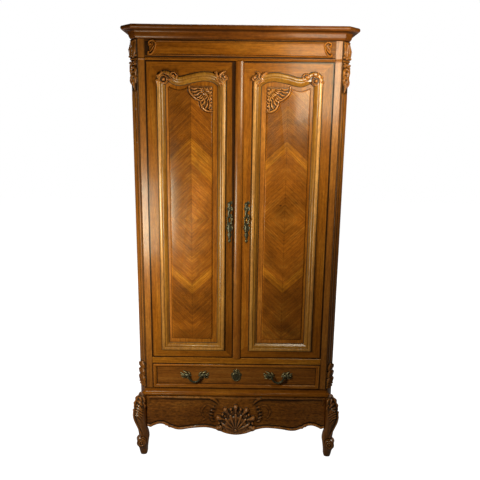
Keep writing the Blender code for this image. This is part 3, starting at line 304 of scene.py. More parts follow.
def reliefPart(strokes, step, place, depth=relief["depth"], outline=relief["outline"]):
    reach = [max(item.get("wide", (0.0,))) for item in strokes]
    margin = relief["sink"] + 2 * step
    low = np.min([item["line"].min(0) - wide for item, wide in zip(strokes, reach)], 0) - margin
    high = np.max([item["line"].max(0) + wide for item, wide in zip(strokes, reach)], 0) + margin
    px, pz = np.meshgrid(*(np.linspace(low[k], high[k], int((high[k] - low[k]) / step) + 2) for k in (0, 1)))
    height = np.maximum(carve(px, pz, strokes, -relief["sink"]), -relief["sink"])
    shade = recessOf(np.maximum(height, 0), depth)
    if outline:  # painted shade along the foot of the carving
        foot = (height <= relief["foot"]) & (height > -outline)
        height, shade = np.where(foot, relief["foot"], height), np.where(foot, 1.0, shade)
    up = height > 0
    cells = up[:-1, :-1] | up[1:, :-1] | up[:-1, 1:] | up[1:, 1:]
    used = np.zeros(px.shape, bool)
    for dr, dc in ((0, 0), (1, 0), (0, 1), (1, 1)):
        used[dr:dr + cells.shape[0], dc:dc + cells.shape[1]] |= cells
    count = used.sum()
    index = np.full(px.shape, -1)
    index[used] = np.arange(count)
    front = place(px[used], pz[used], np.maximum(height, -relief["skirt"])[used])
    back = place(px[used], pz[used], np.full(count, -relief["back"]))
    faces, edges = [], {}
    for r, c in zip(*np.where(cells)):
        quad = (index[r, c], index[r, c + 1], index[r + 1, c + 1], index[r + 1, c])
        faces += [quad, tuple(count + i for i in reversed(quad))]
        for a, b in zip(quad, quad[1:] + quad[:1]):
            if (b, a) in edges:
                del edges[(b, a)]
            else:
                edges[(a, b)] = True
    faces += [(b, a, count + a, count + b) for a, b in edges]
    return np.concatenate([front, back]), faces, np.concatenate([shade[used], np.ones(count)])


def onFront(y, side=1):
    return lambda x, z, h: np.stack([side * x, y - h, z], 1)


# shader helpers
def fillSockets(tree, node, inputs):
    for key, value in inputs.items():
        if isinstance(value, bpy.types.NodeSocket):
            tree.links.new(value, node.inputs[key])
        else:
            node.inputs[key].default_value = value


def addNode(tree, kind, inputs=None, **settings):
    node = tree.nodes.new(kind)
    for key, value in settings.items():
        setattr(node, key, value)
    fillSockets(tree, node, inputs or {})
    return node


def openGroup(name, inputs):
    tree = bpy.data.node_groups.new(name, "ShaderNodeTree")
    for label, value in inputs.items():
        kind = "Vector" if value is None else "Color" if isinstance(value, tuple) else "Float"
        socket = tree.interface.new_socket(name=label, in_out="INPUT", socket_type="NodeSocket" + kind)
        if value is not None:
            socket.default_value = value
    return tree, addNode(tree, "NodeGroupInput").outputs


def closeGroup(tree, results):
    for label in results:
        kind = label if label in ("Vector", "Color") else "Float"
        tree.interface.new_socket(name=label, in_out="OUTPUT", socket_type="NodeSocket" + kind)
    fillSockets(tree, addNode(tree, "NodeGroupOutput"), results)
    return tree


def placeGroup(tree, group, inputs):
    return addNode(tree, "ShaderNodeGroup", inputs, node_tree=group).outputs


def objectSpot(tree):
    return addNode(tree, "ShaderNodeTexCoord").outputs["Object"]


def noise(tree, vector, scale, detail=3.0, rough=0.55, bend=0.0):
    return addNode(tree, "ShaderNodeTexNoise", {"Vector": vector, "Scale": scale, "Detail": detail,
                                                "Roughness": rough, "Distortion": bend}).outputs["Fac"]


def stretch(tree, vector, amount):
    return addNode(tree, "ShaderNodeVectorMath", {0: vector, 1: amount}, operation="MULTIPLY").outputs[0]


def calc(tree, kind, a, b=0.0):
    return addNode(tree, "ShaderNodeMath", {0: a, 1: b}, operation=kind).outputs[0]


def plus(tree, a, b):
    return calc(tree, "ADD", a, b)


def minus(tree, a, b):
    return calc(tree, "SUBTRACT", a, b)


def times(tree, a, b):
    return calc(tree, "MULTIPLY", a, b)


def ranged(tree, value, low, high, outLow=0.0, outHigh=1.0):
    return addNode(tree, "ShaderNodeMapRange", {"Value": value, "From Min": low, "From Max": high,
                                                "To Min": outLow, "To Max": outHigh}).outputs["Result"]


def mixValue(tree, fac, a, b):
    return addNode(tree, "ShaderNodeMix", {0: fac, 2: a, 3: b}).outputs[0]


def mixColour(tree, fac, a, b, blend="MIX"):
    return addNode(tree, "ShaderNodeMix", {0: fac, 6: a, 7: b}, data_type="RGBA", blend_type=blend).outputs[2]


def greyOf(tree, value):
    return addNode(tree, "ShaderNodeCombineColor", {0: value, 1: value, 2: value}).outputs[0]


def toned(tree, colour, value):
    return mixColour(tree, 1.0, colour, greyOf(tree, value), "MULTIPLY")


def splitVector(tree, vector):
    return addNode(tree, "ShaderNodeSeparateXYZ", {0: vector}).outputs


def joinVector(tree, x, y, z):
    return addNode(tree, "ShaderNodeCombineXYZ", {0: x, 1: y, 2: z}).outputs[0]


def bumped(tree, height, strength, distance):
    return addNode(tree, "ShaderNodeBump", {"Height": height, "Strength": strength, "Distance": distance}).outputs[0]


# shared effects
grainLook = {  # noise: scale, detail, roughness, bend
    "broad": (13.0, 3.0, 0.58, 1.6), "streak": (105.0, 5.0, 0.62, 0.5), "patch": (4.5, 2.0, 0.5, 0.6),
    "speckle": (120.0, 3.0, 0.65, 0.4), "smudge": (11.0, 4.0, 0.6, 0.8), "fine": (330.0, 2.0, 0.5),
    "pores": (520.0, 1.0), "poreSpan": (0.60, 0.74), "darkSpan": (0.26, 0.50), "lightSpan": (0.50, 0.76),
    "broadLong": 0.10, "streakLong": 0.035, "poreLong": 0.055, "speckleLong": 0.42,  # stretch along the grain
    "patchShare": 0.6, "poreDark": 0.45, "poreDeep": 0.8, "poreRough": 0.12,
    "rough": (0.27, 0.37), "tint": (0.78, 1.20),
}
wearAndShadeLook = {"hollow": (0.05, 0.75), "ridge": (-0.15, -0.85),
            "bright": (1.85, 1.95, 2.1, 1), "pale": (2.0, 1.3, 0.82, 1),
            "rimFade": (0.25, 1.1), "rimSpan": (1.0, 0.72)}  # painted gap shade and grime round a frame


def buildGrainGroup():
    tree, ins = openGroup("walnutGrain", {
        "Vector": None, "Light": (0.42, 0.19, 0.05, 1), "Middle": (0.27, 0.10, 0.02, 1),
        "Dark": (0.12, 0.04, 0.008, 1), "Figure": 1.0, "Streak": 1.0, "Size": 1.0, "Mottle": 0.2})
    vector = ins["Vector"]
    sized = addNode(tree, "ShaderNodeVectorMath", {0: vector, "Scale": ins["Size"]}, operation="SCALE").outputs[0]

    def drawn(key, source, long):
        return noise(tree, stretch(tree, source, (1.0, 1.0, grainLook[long])), *grainLook[key])

    broad, streak = drawn("broad", sized, "broadLong"), drawn("streak", vector, "streakLong")
    fine, speckle = drawn("fine", vector, "streakLong"), drawn("speckle", vector, "speckleLong")
    patch = noise(tree, vector, *grainLook["patch"])
    pores = ranged(tree, drawn("pores", vector, "poreLong"), *grainLook["poreSpan"])
    tone = plus(tree, times(tree, broad, ins["Figure"]), times(tree, streak, ins["Streak"]))
    tone = plus(tree, tone, times(tree, patch, grainLook["patchShare"]))
    tone = calc(tree, "DIVIDE", tone, plus(tree, plus(tree, ins["Figure"], ins["Streak"]), grainLook["patchShare"]))
    colour = mixColour(tree, ranged(tree, tone, *grainLook["darkSpan"]), ins["Dark"], ins["Middle"])
    colour = mixColour(tree, ranged(tree, tone, *grainLook["lightSpan"]), colour, ins["Light"])
    colour = mixColour(tree, times(tree, pores, grainLook["poreDark"]), colour, ins["Dark"])
    speckle = times(tree, ranged(tree, speckle, 0.32, 0.68, -1.0, 1.0), ins["Mottle"])
    colour = toned(tree, colour, plus(tree, ranged(tree, fine, 0.3, 0.7, *grainLook["tint"]), speckle))
    smudge = ranged(tree, noise(tree, vector, *grainLook["smudge"]), 0.3, 0.7, *grainLook["rough"])
    return closeGroup(tree, {"Color": colour, "Fibre": minus(tree, fine, times(tree, pores, grainLook["poreDeep"])),
                             "Polish": plus(tree, smudge, times(tree, pores, grainLook["poreRough"]))})


# wax and painted shade darken the hollows, wear and painted highlight lighten the ridges
def buildPatinaShadeGroup():
    tree, ins = openGroup("carvedPatinaShadeAndHighlight", {
        "Color": (0.3, 0.1, 0.02, 1), "Wax": (0.020, 0.008, 0.003, 1), "Depth": 0.85, "Wear": 0.5, "Bare": 0.0})
    height = addNode(tree, "ShaderNodeAttribute", attribute_name="recess").outputs["Fac"]
    low, high = ranged(tree, height, *wearAndShadeLook["hollow"]), ranged(tree, height, *wearAndShadeLook["ridge"])
    colour = mixColour(tree, times(tree, low, ins["Depth"]), ins["Color"], ins["Wax"])
    bright = mixColour(tree, 1.0, colour, wearAndShadeLook["bright"], "MULTIPLY")
    pale = addNode(tree, "ShaderNodeRGBToBW", {0: bright}).outputs[0]
    pale = mixColour(tree, 1.0, pale, wearAndShadeLook["pale"], "MULTIPLY")
    bright = mixColour(tree, ins["Bare"], bright, pale)  # worn bare wood and painted highlight: paler and less red
    colour = mixColour(tree, times(tree, high, ins["Wear"]), colour, bright)
    return closeGroup(tree, {"Color": colour, "Recess": low, "Ridge": high})


def buildMatchGroup():
    tree, ins = openGroup("bookMatch", {"Vector": None, "Centre X": 0.0, "Centre Z": 1.24, "Slope": 0.95})
    x, y, z = splitVector(tree, ins["Vector"])
    across, along = minus(tree, x, ins["Centre X"]), minus(tree, z, ins["Centre Z"])
    u, v = calc(tree, "ABSOLUTE", across), calc(tree, "ABSOLUTE", along)
    reach = plus(tree, v, times(tree, u, ins["Slope"]))
    run = minus(tree, u, times(tree, v, ins["Slope"]))
    return closeGroup(tree, {"Vector": joinVector(tree, reach, y, run), "Reach": reach, "Across": across,
                             "Along": along})


def buildMitreGroup():
    tree, ins = openGroup("mitredFrame", {
        "Vector": None, "Centre X": 0.0, "Half Width": 0.2, "Low": 0.5, "High": 2.0, "Left Tone": 1.0,
        "Right Tone": 1.0, "Rail Tone": 1.0, "Left Rim": 0.0046, "Right Rim": 0.0046, "End Rim": 0.0062})
    x, y, z = splitVector(tree, ins["Vector"])
    half, offset = ins["Half Width"], minus(tree, x, ins["Centre X"])
    side = minus(tree, half, calc(tree, "ABSOLUTE", offset))
    end = calc(tree, "MINIMUM", minus(tree, z, ins["Low"]), minus(tree, ins["High"], z))
    rail = calc(tree, "LESS_THAN", end, side)
    turned = addNode(tree, "ShaderNodeMix", {0: rail, 4: ins["Vector"], 5: joinVector(tree, z, y, x)},
                     data_type="VECTOR").outputs[1]
    stile = mixValue(tree, calc(tree, "GREATER_THAN", offset, 0.0), ins["Left Tone"], ins["Right Tone"])
    # the right rim paints the meeting strip's shadow, widest at the top
    fading = times(tree, ins["Right Rim"], ranged(tree, z, ins["Low"], ins["High"], *wearAndShadeLook["rimFade"]))
    toRight = calc(tree, "DIVIDE", minus(tree, half, offset), calc(tree, "MAXIMUM", ins["Left Rim"], fading))
    toLeft = calc(tree, "DIVIDE", plus(tree, half, offset), ins["Left Rim"])
    near = calc(tree, "MINIMUM", calc(tree, "MINIMUM", toLeft, toRight), calc(tree, "DIVIDE", end, ins["End Rim"]))
    return closeGroup(tree, {"Vector": turned, "Tone": mixValue(tree, rail, stile, ins["Rail Tone"]),
                             "Grime": ranged(tree, near, *wearAndShadeLook["rimSpan"])})


grainGroup, patinaShadeGroup = buildGrainGroup(), buildPatinaShadeGroup()
matchGroup, mitreGroup = buildMatchGroup(), buildMitreGroup()


# materials
def newMaterial(name):
    material = bpy.data.materials.new(name)
    material.use_nodes = True
    return material, material.node_tree, material.node_tree.nodes["Principled BSDF"]


tones = {  # light, middle and dark of the grain
    "rail": ((0.48, 0.180, 0.016), (0.31, 0.091, 0.005), (0.14, 0.033, 0.002)),
    "cornice": ((0.30, 0.103, 0.012), (0.185, 0.050, 0.004), (0.080, 0.019, 0.002)),
    "stile": ((0.53, 0.208, 0.020), (0.34, 0.103, 0.006), (0.16, 0.040, 0.003)),
    "moulding": ((0.55, 0.270, 0.032), (0.39, 0.155, 0.013), (0.19, 0.060, 0.006)),
    "gold": ((0.66, 0.290, 0.030), (0.46, 0.160, 0.010), (0.22, 0.062, 0.004)),
    "carved": ((0.52, 0.215, 0.028), (0.34, 0.112, 0.011), (0.16, 0.042, 0.005)),
    "dark": ((0.48, 0.190, 0.030), (0.30, 0.096, 0.011), (0.12, 0.032, 0.004)),
    "plain": ((0.50, 0.330, 0.170), (0.40, 0.245, 0.115), (0.27, 0.150, 0.065)),
    "veneer": ((0.54, 0.212, 0.022), (0.35, 0.101, 0.006), (0.15, 0.036, 0.003)),
}
# colour of the painted shade and grime along a frame's gaps
gapGrimeAndShade = (0.022, 0.008, 0.003, 1)
varnishTint = (0.90, 1.0, 0.70, 1.0)  # old varnish yellows what it mirrors
grainTurn = {"x": (0.0, math.pi / 2, 0.0), "y": (math.pi / 2, 0.0, 0.0), "z": (0.0, 0.0, 0.0)}
# depth and wear set the painted shade in hollows and the painted highlight on ridges, bare its paler hue, grime the
# painted shade along frame gaps
polish = {"figure": 1.0, "streak": 1.0, "mottle": 0.2, "depth": 0.92, "wear": 0.50, "bare": 0.08,
          "coat": 0.05, "coatRough": 0.14, "shine": 0.225, "bump": 0.12, "bumpDeep": 0.0006,
          "gapGrimeAndShade": 0.90, "hollowRough": 0.35, "hollowCoat": 0.06}


def placeGrain(tree, tone, vector, figure, streak, mottle, size=1.0):
    colours = {key: (*value, 1.0) for key, value in zip(("Light", "Middle", "Dark"), tones[tone])}
    return placeGroup(tree, grainGroup, {"Vector": vector, **colours, "Figure": figure, "Streak": streak,
                                         "Mottle": mottle, "Size": size})


def walnutMaterial(name, tone, axis="z", offset=(0.0, 0.0, 0.0), mitre=None, **changes):
    look = {**polish, **changes}
    material, tree, shader = newMaterial(name)
    source = objectSpot(tree)
    if mitre:
        boards = placeGroup(tree, mitreGroup, {"Vector": source, **mitre})
        vector = boards["Vector"]
    else:
        vector = addNode(tree, "ShaderNodeMapping", {"Vector": source, "Location": offset,
                                                     "Rotation": grainTurn[axis]}).outputs[0]
    grain = placeGrain(tree, tone, vector, look["figure"], look["streak"], look["mottle"])
    colour = grain["Color"]
    if mitre:
        colour = toned(tree, colour, boards["Tone"])
        # painted shade and grime along the frame's gaps
        colour = mixColour(tree, times(tree, boards["Grime"], look["gapGrimeAndShade"]), colour, gapGrimeAndShade)
    patinaAndShade = placeGroup(tree, patinaShadeGroup, {"Color": colour, "Depth": look["depth"], "Wear": look["wear"],
                                            "Bare": look["bare"]})
    fillSockets(tree, shader, {
        "Base Color": patinaAndShade["Color"],
        "Roughness": plus(tree, grain["Polish"], times(tree, patinaAndShade["Recess"], look["hollowRough"])),
        "Specular IOR Level": look["shine"], "Specular Tint": varnishTint,
        "Coat Weight": ranged(tree, patinaAndShade["Recess"], 0.0, 1.0, look["coat"], look["hollowCoat"] * look["coat"]),
        "Coat Roughness": look["coatRough"],
        "Normal": bumped(tree, grain["Fibre"], look["bump"], look["bumpDeep"])})
    return material


veneer = {  # stops of the pale chevron band, crossing figure whose paleness is painted sheen: place across it and tone
    "stops": ((-3.0, 0.80), (-0.04, 0.74), (0.0, 1.26), (0.45, 1.14), (0.50, 1.28), (1.0, 1.12), (1.10, 0.97),
              (3.0, 1.0), (5.0, 1.0)),
    "centreZ": 1.242, "slope": 0.95, "grain": (0.6, 0.8, 0.16, 2.2),  # figure, streak, mottle, size
    "cloud": (5.5, 3.0, 0.6, 0.8), "cloudTone": (0.62, 1.30), "seam": (0.0004, 0.0014, 0.62, 1.0),
    "acrossJoint": (-0.0002, 0.0002), "levelJoint": (-0.001, 0.001),
    "ribbon": {"Scale": 44.0, "Distortion": 4.0, "Detail": 3.0, "Detail Scale": 2.0, "Detail Roughness": 0.6},
    "ribbonPatch": (7.0, 2.0), "ribbonSpan": (0.35, 0.65, 0.3, 1.0), "ribbonFade": (0.0, -0.05, 0.30, 0.85),
    "knotSize": (0.0050, 0.0020, 0.0, 0.8), "knotColour": (0.035, 0.011, 0.003, 1), "knotFlat": 0.7,
    "shine": 0.28, "coat": 0.10, "bump": (0.08, 0.0005), "paleFrom": 1.05, "paleGreen": 1.12,
    "left": {"centreX": -0.2184, "edge": 0.3685, "band": (0.014, 0.105, 0.046), "shift": (0.31, 0.0, 0.07),
             "leaves": (0.80, 1.14, 0.98, 1.02)},
    "right": {"centreX": 0.2184, "edge": 0.361, "band": (0.041, 0.041, 0.041), "shift": (0.77, 0.0, 0.41),
              "leaves": (1.0, 0.98, 1.08, 1.06), "knot": (0.1975, 1.308)},
}


def veneerMaterial(name, look):
    material, tree, shader = newMaterial(name)
    source = objectSpot(tree)
    match = placeGroup(tree, matchGroup, {"Vector": source, "Centre X": look["centreX"],
                                          "Centre Z": veneer["centreZ"], "Slope": veneer["slope"]})
    moved = addNode(tree, "ShaderNodeVectorMath", {0: match["Vector"], 1: look["shift"]}, operation="ADD").outputs[0]
    grain = placeGrain(tree, "veneer", moved, *veneer["grain"])

    def sided(left, right):  # one value on each side of the upright seam
        return ranged(tree, match["Across"], *veneer["acrossJoint"], left, right)

    left, right, low = look["band"]
    upper = ranged(tree, match["Along"], *veneer["levelJoint"])
    width = plus(tree, times(tree, upper, minus(tree, sided(left, right), low)), low)
    inset = calc(tree, "DIVIDE", minus(tree, look["edge"], match["Reach"]), width)
    first, last = veneer["stops"][0][0], veneer["stops"][-1][0]
    ramp = addNode(tree, "ShaderNodeValToRGB", {"Fac": ranged(tree, inset, first, last)})
    elements = ramp.color_ramp.elements
    while len(elements) < len(veneer["stops"]):
        elements.new(0.5)
    for element, (spot, value) in zip(elements, veneer["stops"]):
        element.position = (spot - first) / (last - first)
        element.color = (value, value * (veneer["paleGreen"] if value > veneer["paleFrom"] else 1.0), value, 1)
    colour = mixColour(tree, 1.0, grain["Color"], ramp.outputs[0], "MULTIPLY")
    wave = addNode(tree, "ShaderNodeTexWave", {"Vector": moved, **veneer["ribbon"]}, wave_type="BANDS",
                   bands_direction="X").outputs["Fac"]
    patch = ranged(tree, noise(tree, source, *veneer["ribbonPatch"]), *veneer["ribbonSpan"])
    strength = times(tree, ranged(tree, inset, *veneer["ribbonFade"]), patch)
    ribbon = plus(tree, times(tree, minus(tree, wave, 0.5), strength), 1.0)
    cloud = ranged(tree, noise(tree, source, *veneer["cloud"]), 0.3, 0.7, *veneer["cloudTone"])
    highLeft, highRight, lowLeft, lowRight = look["leaves"]  # each of the four leaves has its own tone
    leaf = mixValue(tree, upper, sided(lowLeft, lowRight), sided(highLeft, highRight))
    seam = ranged(tree, calc(tree, "ABSOLUTE", match["Across"]), *veneer["seam"])
    for value in (ribbon, cloud, leaf, seam):
        colour = toned(tree, colour, value)
    if "knot" in look:
        (x, z), flat = look["knot"], veneer["knotFlat"]
        spot = stretch(tree, source, (flat, 0.0, 1.0))
        away = addNode(tree, "ShaderNodeVectorMath", {0: spot, 1: (flat * x, 0.0, z)}, operation="DISTANCE").outputs[1]
        colour = mixColour(tree, ranged(tree, away, *veneer["knotSize"]), colour, veneer["knotColour"])
    fillSockets(tree, shader, {
        "Base Color": placeGroup(tree, patinaShadeGroup, {"Color": colour})["Color"], "Roughness": grain["Polish"],
        "Specular IOR Level": veneer["shine"], "Specular Tint": varnishTint, "Coat Weight": veneer["coat"],
        "Coat Roughness": polish["coatRough"], "Normal": bumped(tree, grain["Fibre"], *veneer["bump"])})
    return material


metalLook = {"cloud": (90.0, 4.0, 0.6, 0.5), "speck": (420.0, 2.0), "wax": (0.012, 0.011, 0.006, 1), "depth": 0.9,
             "rub": (0.25, 0.6), "roughSpan": (-0.08, 0.12), "bump": (0.15, 0.0005)}


def metalMaterial(name, base, bright, dirt, metallic, rough):
    material, tree, shader = newMaterial(name)
    source = objectSpot(tree)
    cloud = noise(tree, source, *metalLook["cloud"])
    speck = noise(tree, source, *metalLook["speck"])
    colour = mixColour(tree, ranged(tree, cloud, 0.35, 0.65), (*base, 1), (*dirt, 1))
    patinaAndShade = placeGroup(tree, patinaShadeGroup, {"Color": colour, "Wax": metalLook["wax"],
                                            "Depth": metalLook["depth"], "Wear": 0.0})
    rubbed = times(tree, patinaAndShade["Ridge"], ranged(tree, speck, *metalLook["rub"]))
    fillSockets(tree, shader, {
        "Base Color": mixColour(tree, rubbed, patinaAndShade["Color"], (*bright, 1)), "Metallic": metallic,
        "Roughness": ranged(tree, cloud, 0.3, 0.7, *(rough + more for more in metalLook["roughSpan"])),
        "Normal": bumped(tree, speck, *metalLook["bump"])})
    return material


# rims: widths of the painted shade along each edge of the frame
def mitreOf(node, left=1.0, right=1.0, rails=1.0, rightRim=0.0046, rim=0.0046, endRim=0.0062):
    low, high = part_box(node)
    return {"Centre X": (low.x + high.x) / 2, "Half Width": (high.x - low.x) / 2, "Low": low.z, "High": high.z,
            "Left Tone": left, "Right Tone": right, "Rail Tone": rails,
            "Left Rim": rim, "Right Rim": rightRim, "End Rim": endRim}


corniceFinish = {"coat": 0.13, "shine": 0.125, "coatRough": 0.18}
plainFinish = {"coat": 0.0, "wear": 0.2, "bump": 0.25, "shine": 0.125}
walnutLooks = {  # tone, direction and offset of the grain, then what differs from polish
    "rail": ("rail", "x", (0.0, 0.0, 0.0), {"shine": 0.15}),
    "midRail": ("gold", "x", (0.3, 0.2, 0.8), {}),
    "cornice": ("cornice", "x", (0.2, 0.1, 0.6), corniceFinish),
    "corniceSide": ("cornice", "y", (0.1, 0.4, 0.6), corniceFinish),
    "stile": ("stile", "z", (0.5, 0.2, 0.1), {}),
    "strip": ("stile", "z", (0.45, 0.1, 0.7), {"figure": 0.6, "streak": 0.7}),
    "meeting": ("rail", "z", (0.05, 0.6, 0.3), {"coat": 0.45, "shine": 0.375, "coatRough": 0.28}),
    # the left door's wide right rim is the meeting strip's painted shadow
    "doorLeft": ("stile", "z", None, {"mitre": mitreOf("left_door_frame", 0.92, 0.70, 0.92, 0.0152), "shine": 0.175}),
    "doorRight": ("stile", "z", None, {"mitre": mitreOf("right_door_frame", 1.12, 0.94, 1.0)}),
    "post": ("carved", "z", (0.9, 0.3, 0.0), {"wear": 0.8, "coat": 0.30, "shine": 0.275, "coatRough": 0.28}),
    "moulding": ("moulding", "z", (0.3, 0.8, 0.2), {"figure": 0.6, "wear": 1.4, "coat": 0.50, "shine": 0.4375,
                                                    "coatRough": 0.22, "bare": 0.15}),
    "carved": ("carved", "z", (0.7, 0.1, 0.5), {"figure": 0.6, "depth": 0.82, "wear": 1.1, "coat": 0.90,
                                                "shine": 0.625}),
    "apron": ("dark", "x", (0.4, 0.9, 0.3), {"figure": 1.3, "streak": 0.4, "wear": 1.0, "coat": 0.15, "mottle": 0.5}),
    "shell": ("dark", "z", (0.6, 0.3, 0.1), {"figure": 0.6, "depth": 0.98, "wear": 1.9, "coat": 0.90,
                                             "shine": 0.625, "coatRough": 0.2}),
    "leg": ("dark", "z", (0.8, 0.6, 0.3), {"figure": 0.6, "wear": 0.9, "coat": 0.45, "shine": 0.4375}),
    "drawer": ("dark", "x", (0.15, 0.35, 0.7), {"figure": 1.2}),
    "drawerBorder": ("stile", "z", None, {"mitre": mitreOf("drawer_front", 1.0, 1.0, 1.0, 0.0020, 0.0020, 0.0016),
                                          "coat": 0.12, "wear": 0.8}),
    "sidePanel": ("stile", "z", (0.25, 0.5, 0.9), {"figure": 1.4}),
    "timber": ("plain", "z", (0.6, 0.2, 0.4), plainFinish),
    "timberLeft": ("plain", "z", (0.2, 0.9, 0.1), {"figure": 1.4, **plainFinish}),
    "timberRight": ("plain", "z", (0.8, 0.4, 0.7), {"figure": 0.7, **plainFinish}),
    "timberAcross": ("plain", "x", (0.1, 0.7, 0.2), plainFinish),
    "timberDeep": ("plain", "y", (0.3, 0.6, 0.8), plainFinish),
}
metalLooks = {  # base, rubbed and dirty colour, metallic, roughness
    "brass": ("antiqueBrass", (0.130, 0.112, 0.046), (0.60, 0.48, 0.20), (0.060, 0.058, 0.030), 0.55, 0.38),
    "brassDark": ("darkBrass", (0.100, 0.085, 0.034), (0.62, 0.50, 0.20), (0.048, 0.046, 0.024), 0.60, 0.34),
    "key": ("keyBrass", (0.75, 0.52, 0.16), (0.85, 0.62, 0.22), (0.55, 0.36, 0.10), 1.0, 0.25),
    "steel": ("plainSteel", (0.30, 0.29, 0.28), (0.45, 0.44, 0.42), (0.20, 0.19, 0.18), 1.0, 0.38),
}
looks = {key: metalMaterial(*row) for key, row in metalLooks.items()}
for key, (tone, axis, offset, changes) in walnutLooks.items():
    name = ("plain" if tone == "plain" else "walnut") + key[0].upper() + key[1:]
    looks[key] = walnutMaterial(name, tone, axis, offset, **changes)
for _, hand in hands:
    looks["veneer" + hand.capitalize()] = veneerMaterial("walnutVeneer" + hand.capitalize(), veneer[hand])

keptNodes = {  # solids that show as they are
    "rail": ("frieze_rail",), "midRail": ("mid_rail",),
    "doorLeft": ("left_door_frame",), "doorRight": ("right_door_frame",),
    "stile": ("left_side_frame", "right_side_frame"), "sidePanel": ("left_side_panel", "right_side_panel"),
    "timber": ("back_board_centre",), "timberLeft": ("back_board_left",), "timberRight": ("back_board_right",),
    "timberAcross": ("compartment_floor", "hat_shelf", "hanging_rail", "drawer_back", "drawer_bottom",
                     "cornice_top_board"),
    "timberDeep": ("drawer_left_side", "drawer_right_side", "left_drawer_runner", "right_drawer_runner",
                   "left_shelf_cleat", "right_shelf_cleat", "left_rail_socket", "right_rail_socket"),
    "brass": ("left_lower_pivot", "right_lower_pivot", "left_upper_pivot", "right_upper_pivot", "upper_door_bolt",
              "lower_door_bolt", "door_lock_bolt"),
    "key": ("door_key",), "steel": ("door_lock_case",),
}
for look, nodes in keptNodes.items():
    for node in nodes:
        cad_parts[node].data.materials.clear()
        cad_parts[node].data.materials.append(looks[look])
print("stage: materials made")

# cornice, mitred round the canted corners
cornice = {"out": 0.044, "bed": 0.030, "arcSteps": 12,  # the rest in shares of out and of the height
           "ovolo": (0.30, 0.42), "cove": (0.86, 0.52), "coveUp": (0.455, 0.125), "coveShade": 0.6,
           "nose": 0.155, "noseUp": 0.725, "noseArc": (-60, 78)}


def corniceProfile():  # out, up, painted shade of the hollow
    out, tall, steps = cornice["out"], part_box("cornice_front")[1].z - case["top"], cornice["arcSteps"]
    turn = np.radians(np.linspace(0, 90, steps))
    wide, high = cornice["ovolo"]
    ovolo = np.stack([wide * out * np.sin(turn), high * tall * (1 - np.cos(turn)), np.where(turn < 0.3, 0.9, 0.0)], 1)
    (far, deep), (low, rise) = cornice["cove"], cornice["coveUp"]
    cove = np.stack([out * (far - deep * np.cos(turn)), tall * (low + rise * np.sin(turn)),
                     cornice["coveShade"] * np.sin(2 * turn)], 1)
    radius = cornice["nose"] * tall
    nose = ovalLine((out - radius, cornice["noseUp"] * tall), radius, *cornice["noseArc"], steps)
    nose = np.pad(nose, ((0, 0), (0, 1)))
    return np.concatenate([[(-cornice["bed"], 0.0, 1.0)], ovolo, cove, nose, [(-cornice["bed"], tall, 0.0)]])


def buildCornice():
    right = [(case["legInner"], case["front"]), (case["half"], case["front"] + case["half"] - case["legInner"]),
             (case["half"], case["back"])]
    plan = [(-x, y) for x, y in reversed(right)] + right
    profile = corniceProfile()
    moved = [moveLine(plan, out, closed=False) for out, _, _ in profile]
    for name, look, spots in (("left", "corniceSide", (0, 1, 2)), ("front", "cornice", (2, 3)),
                              ("right", "corniceSide", (3, 4, 5))):
        rings = [[(*line[i], case["top"] + up) for line, (_, up, _) in zip(moved, profile)] for i in spots]
        addPiece(name.capitalize() + "Cornice", "carcase", [loftPart(rings, [profile[:, 2]] * len(rings))], [look],
                 ("cornice_" + name,), sharp=30)


buildCornice()
print("stage: cornice")

# frieze panel with scroll ends
frieze = {
    "rings": ((-1.6, 0.3, 1.0), (-0.2, 0.4, 1.0), (0.0, 3.2, 0.3), (1.0, 5.0, -0.3), (3.0, 6.0, -0.3), (4.8, 5.2, 0.0),
              (5.5, 4.0, 0.9), (6.4, 3.7, 0.5), (7.6, 3.8, 0.0)),  # inset and rise in mm, painted shade of the hollow, below zero painted highlight
    "foot": ((0.0, 0.0), (0.0, 0.16), (0.08, 0.24), (0.20, 0.40)),  # shares of the height, from the lower corner
    "curl": (0.30, 0.24), "edge": 0.0006, "drawnTall": 61,
    "floor": ((-37, 34), (-37, 52), (-24, 62), (-8, 56), (-10, 42), (-8, 20), (0, 12), (-12, 3), (-28, 14)),  # mm
    "band": ((-12.5, 43), (-8.5, 54), (-24, 60), (-36.5, 50), (-35, 34), (-27, 16), (-14, 5), (-2, 10.5)),
    "bandWide": (3, 4.2, 4.2, 4, 4, 4, 4.2, 3), "bandHigh": (10, 12.5, 13, 12.5, 12.5, 12.5, 12.5, 10),
    "leaf": ((-30, 40), (-23.5, 28), (-13.5, 16.5)), "leafWide": (3, 4.6, 3), "leafHigh": (9, 12.5, 9),
    "eyes": ((-15, 45.5), (-6, 13.5)), "eye": (4.4, 14.0),
    "floorHigh": 0.0050, "floorEdge": 0.002, "step": 0.0011, "shadeDepth": 0.0010,
    "shadows": (0.85, 0.4), "rimShadow": 0.9, "shadowInset": 0.0005, "shadowIn": 0.034, "shadowDrop": 0.0068,
    "strip": ((0.0, 0.0005, 0.3), (0.0, -0.0001, 0.3), (0.0012, -0.0003, 1.0)),  # inset, place, share of the darkness
}


def shadowStrip(low, high, dark):
    def ring(inset, y):
        return [(x, case["front"] + y, z) for x, z in (
            (low[0] + inset, low[1] + inset), (high[0] - inset, low[1] + inset),
            (high[0] - inset, high[1] - inset), (low[0] + inset, high[1] - inset))]
    return loftPart([ring(inset, y) for inset, y, _ in frieze["strip"]],
                    [[share * dark] * 4 for _, _, share in frieze["strip"]])


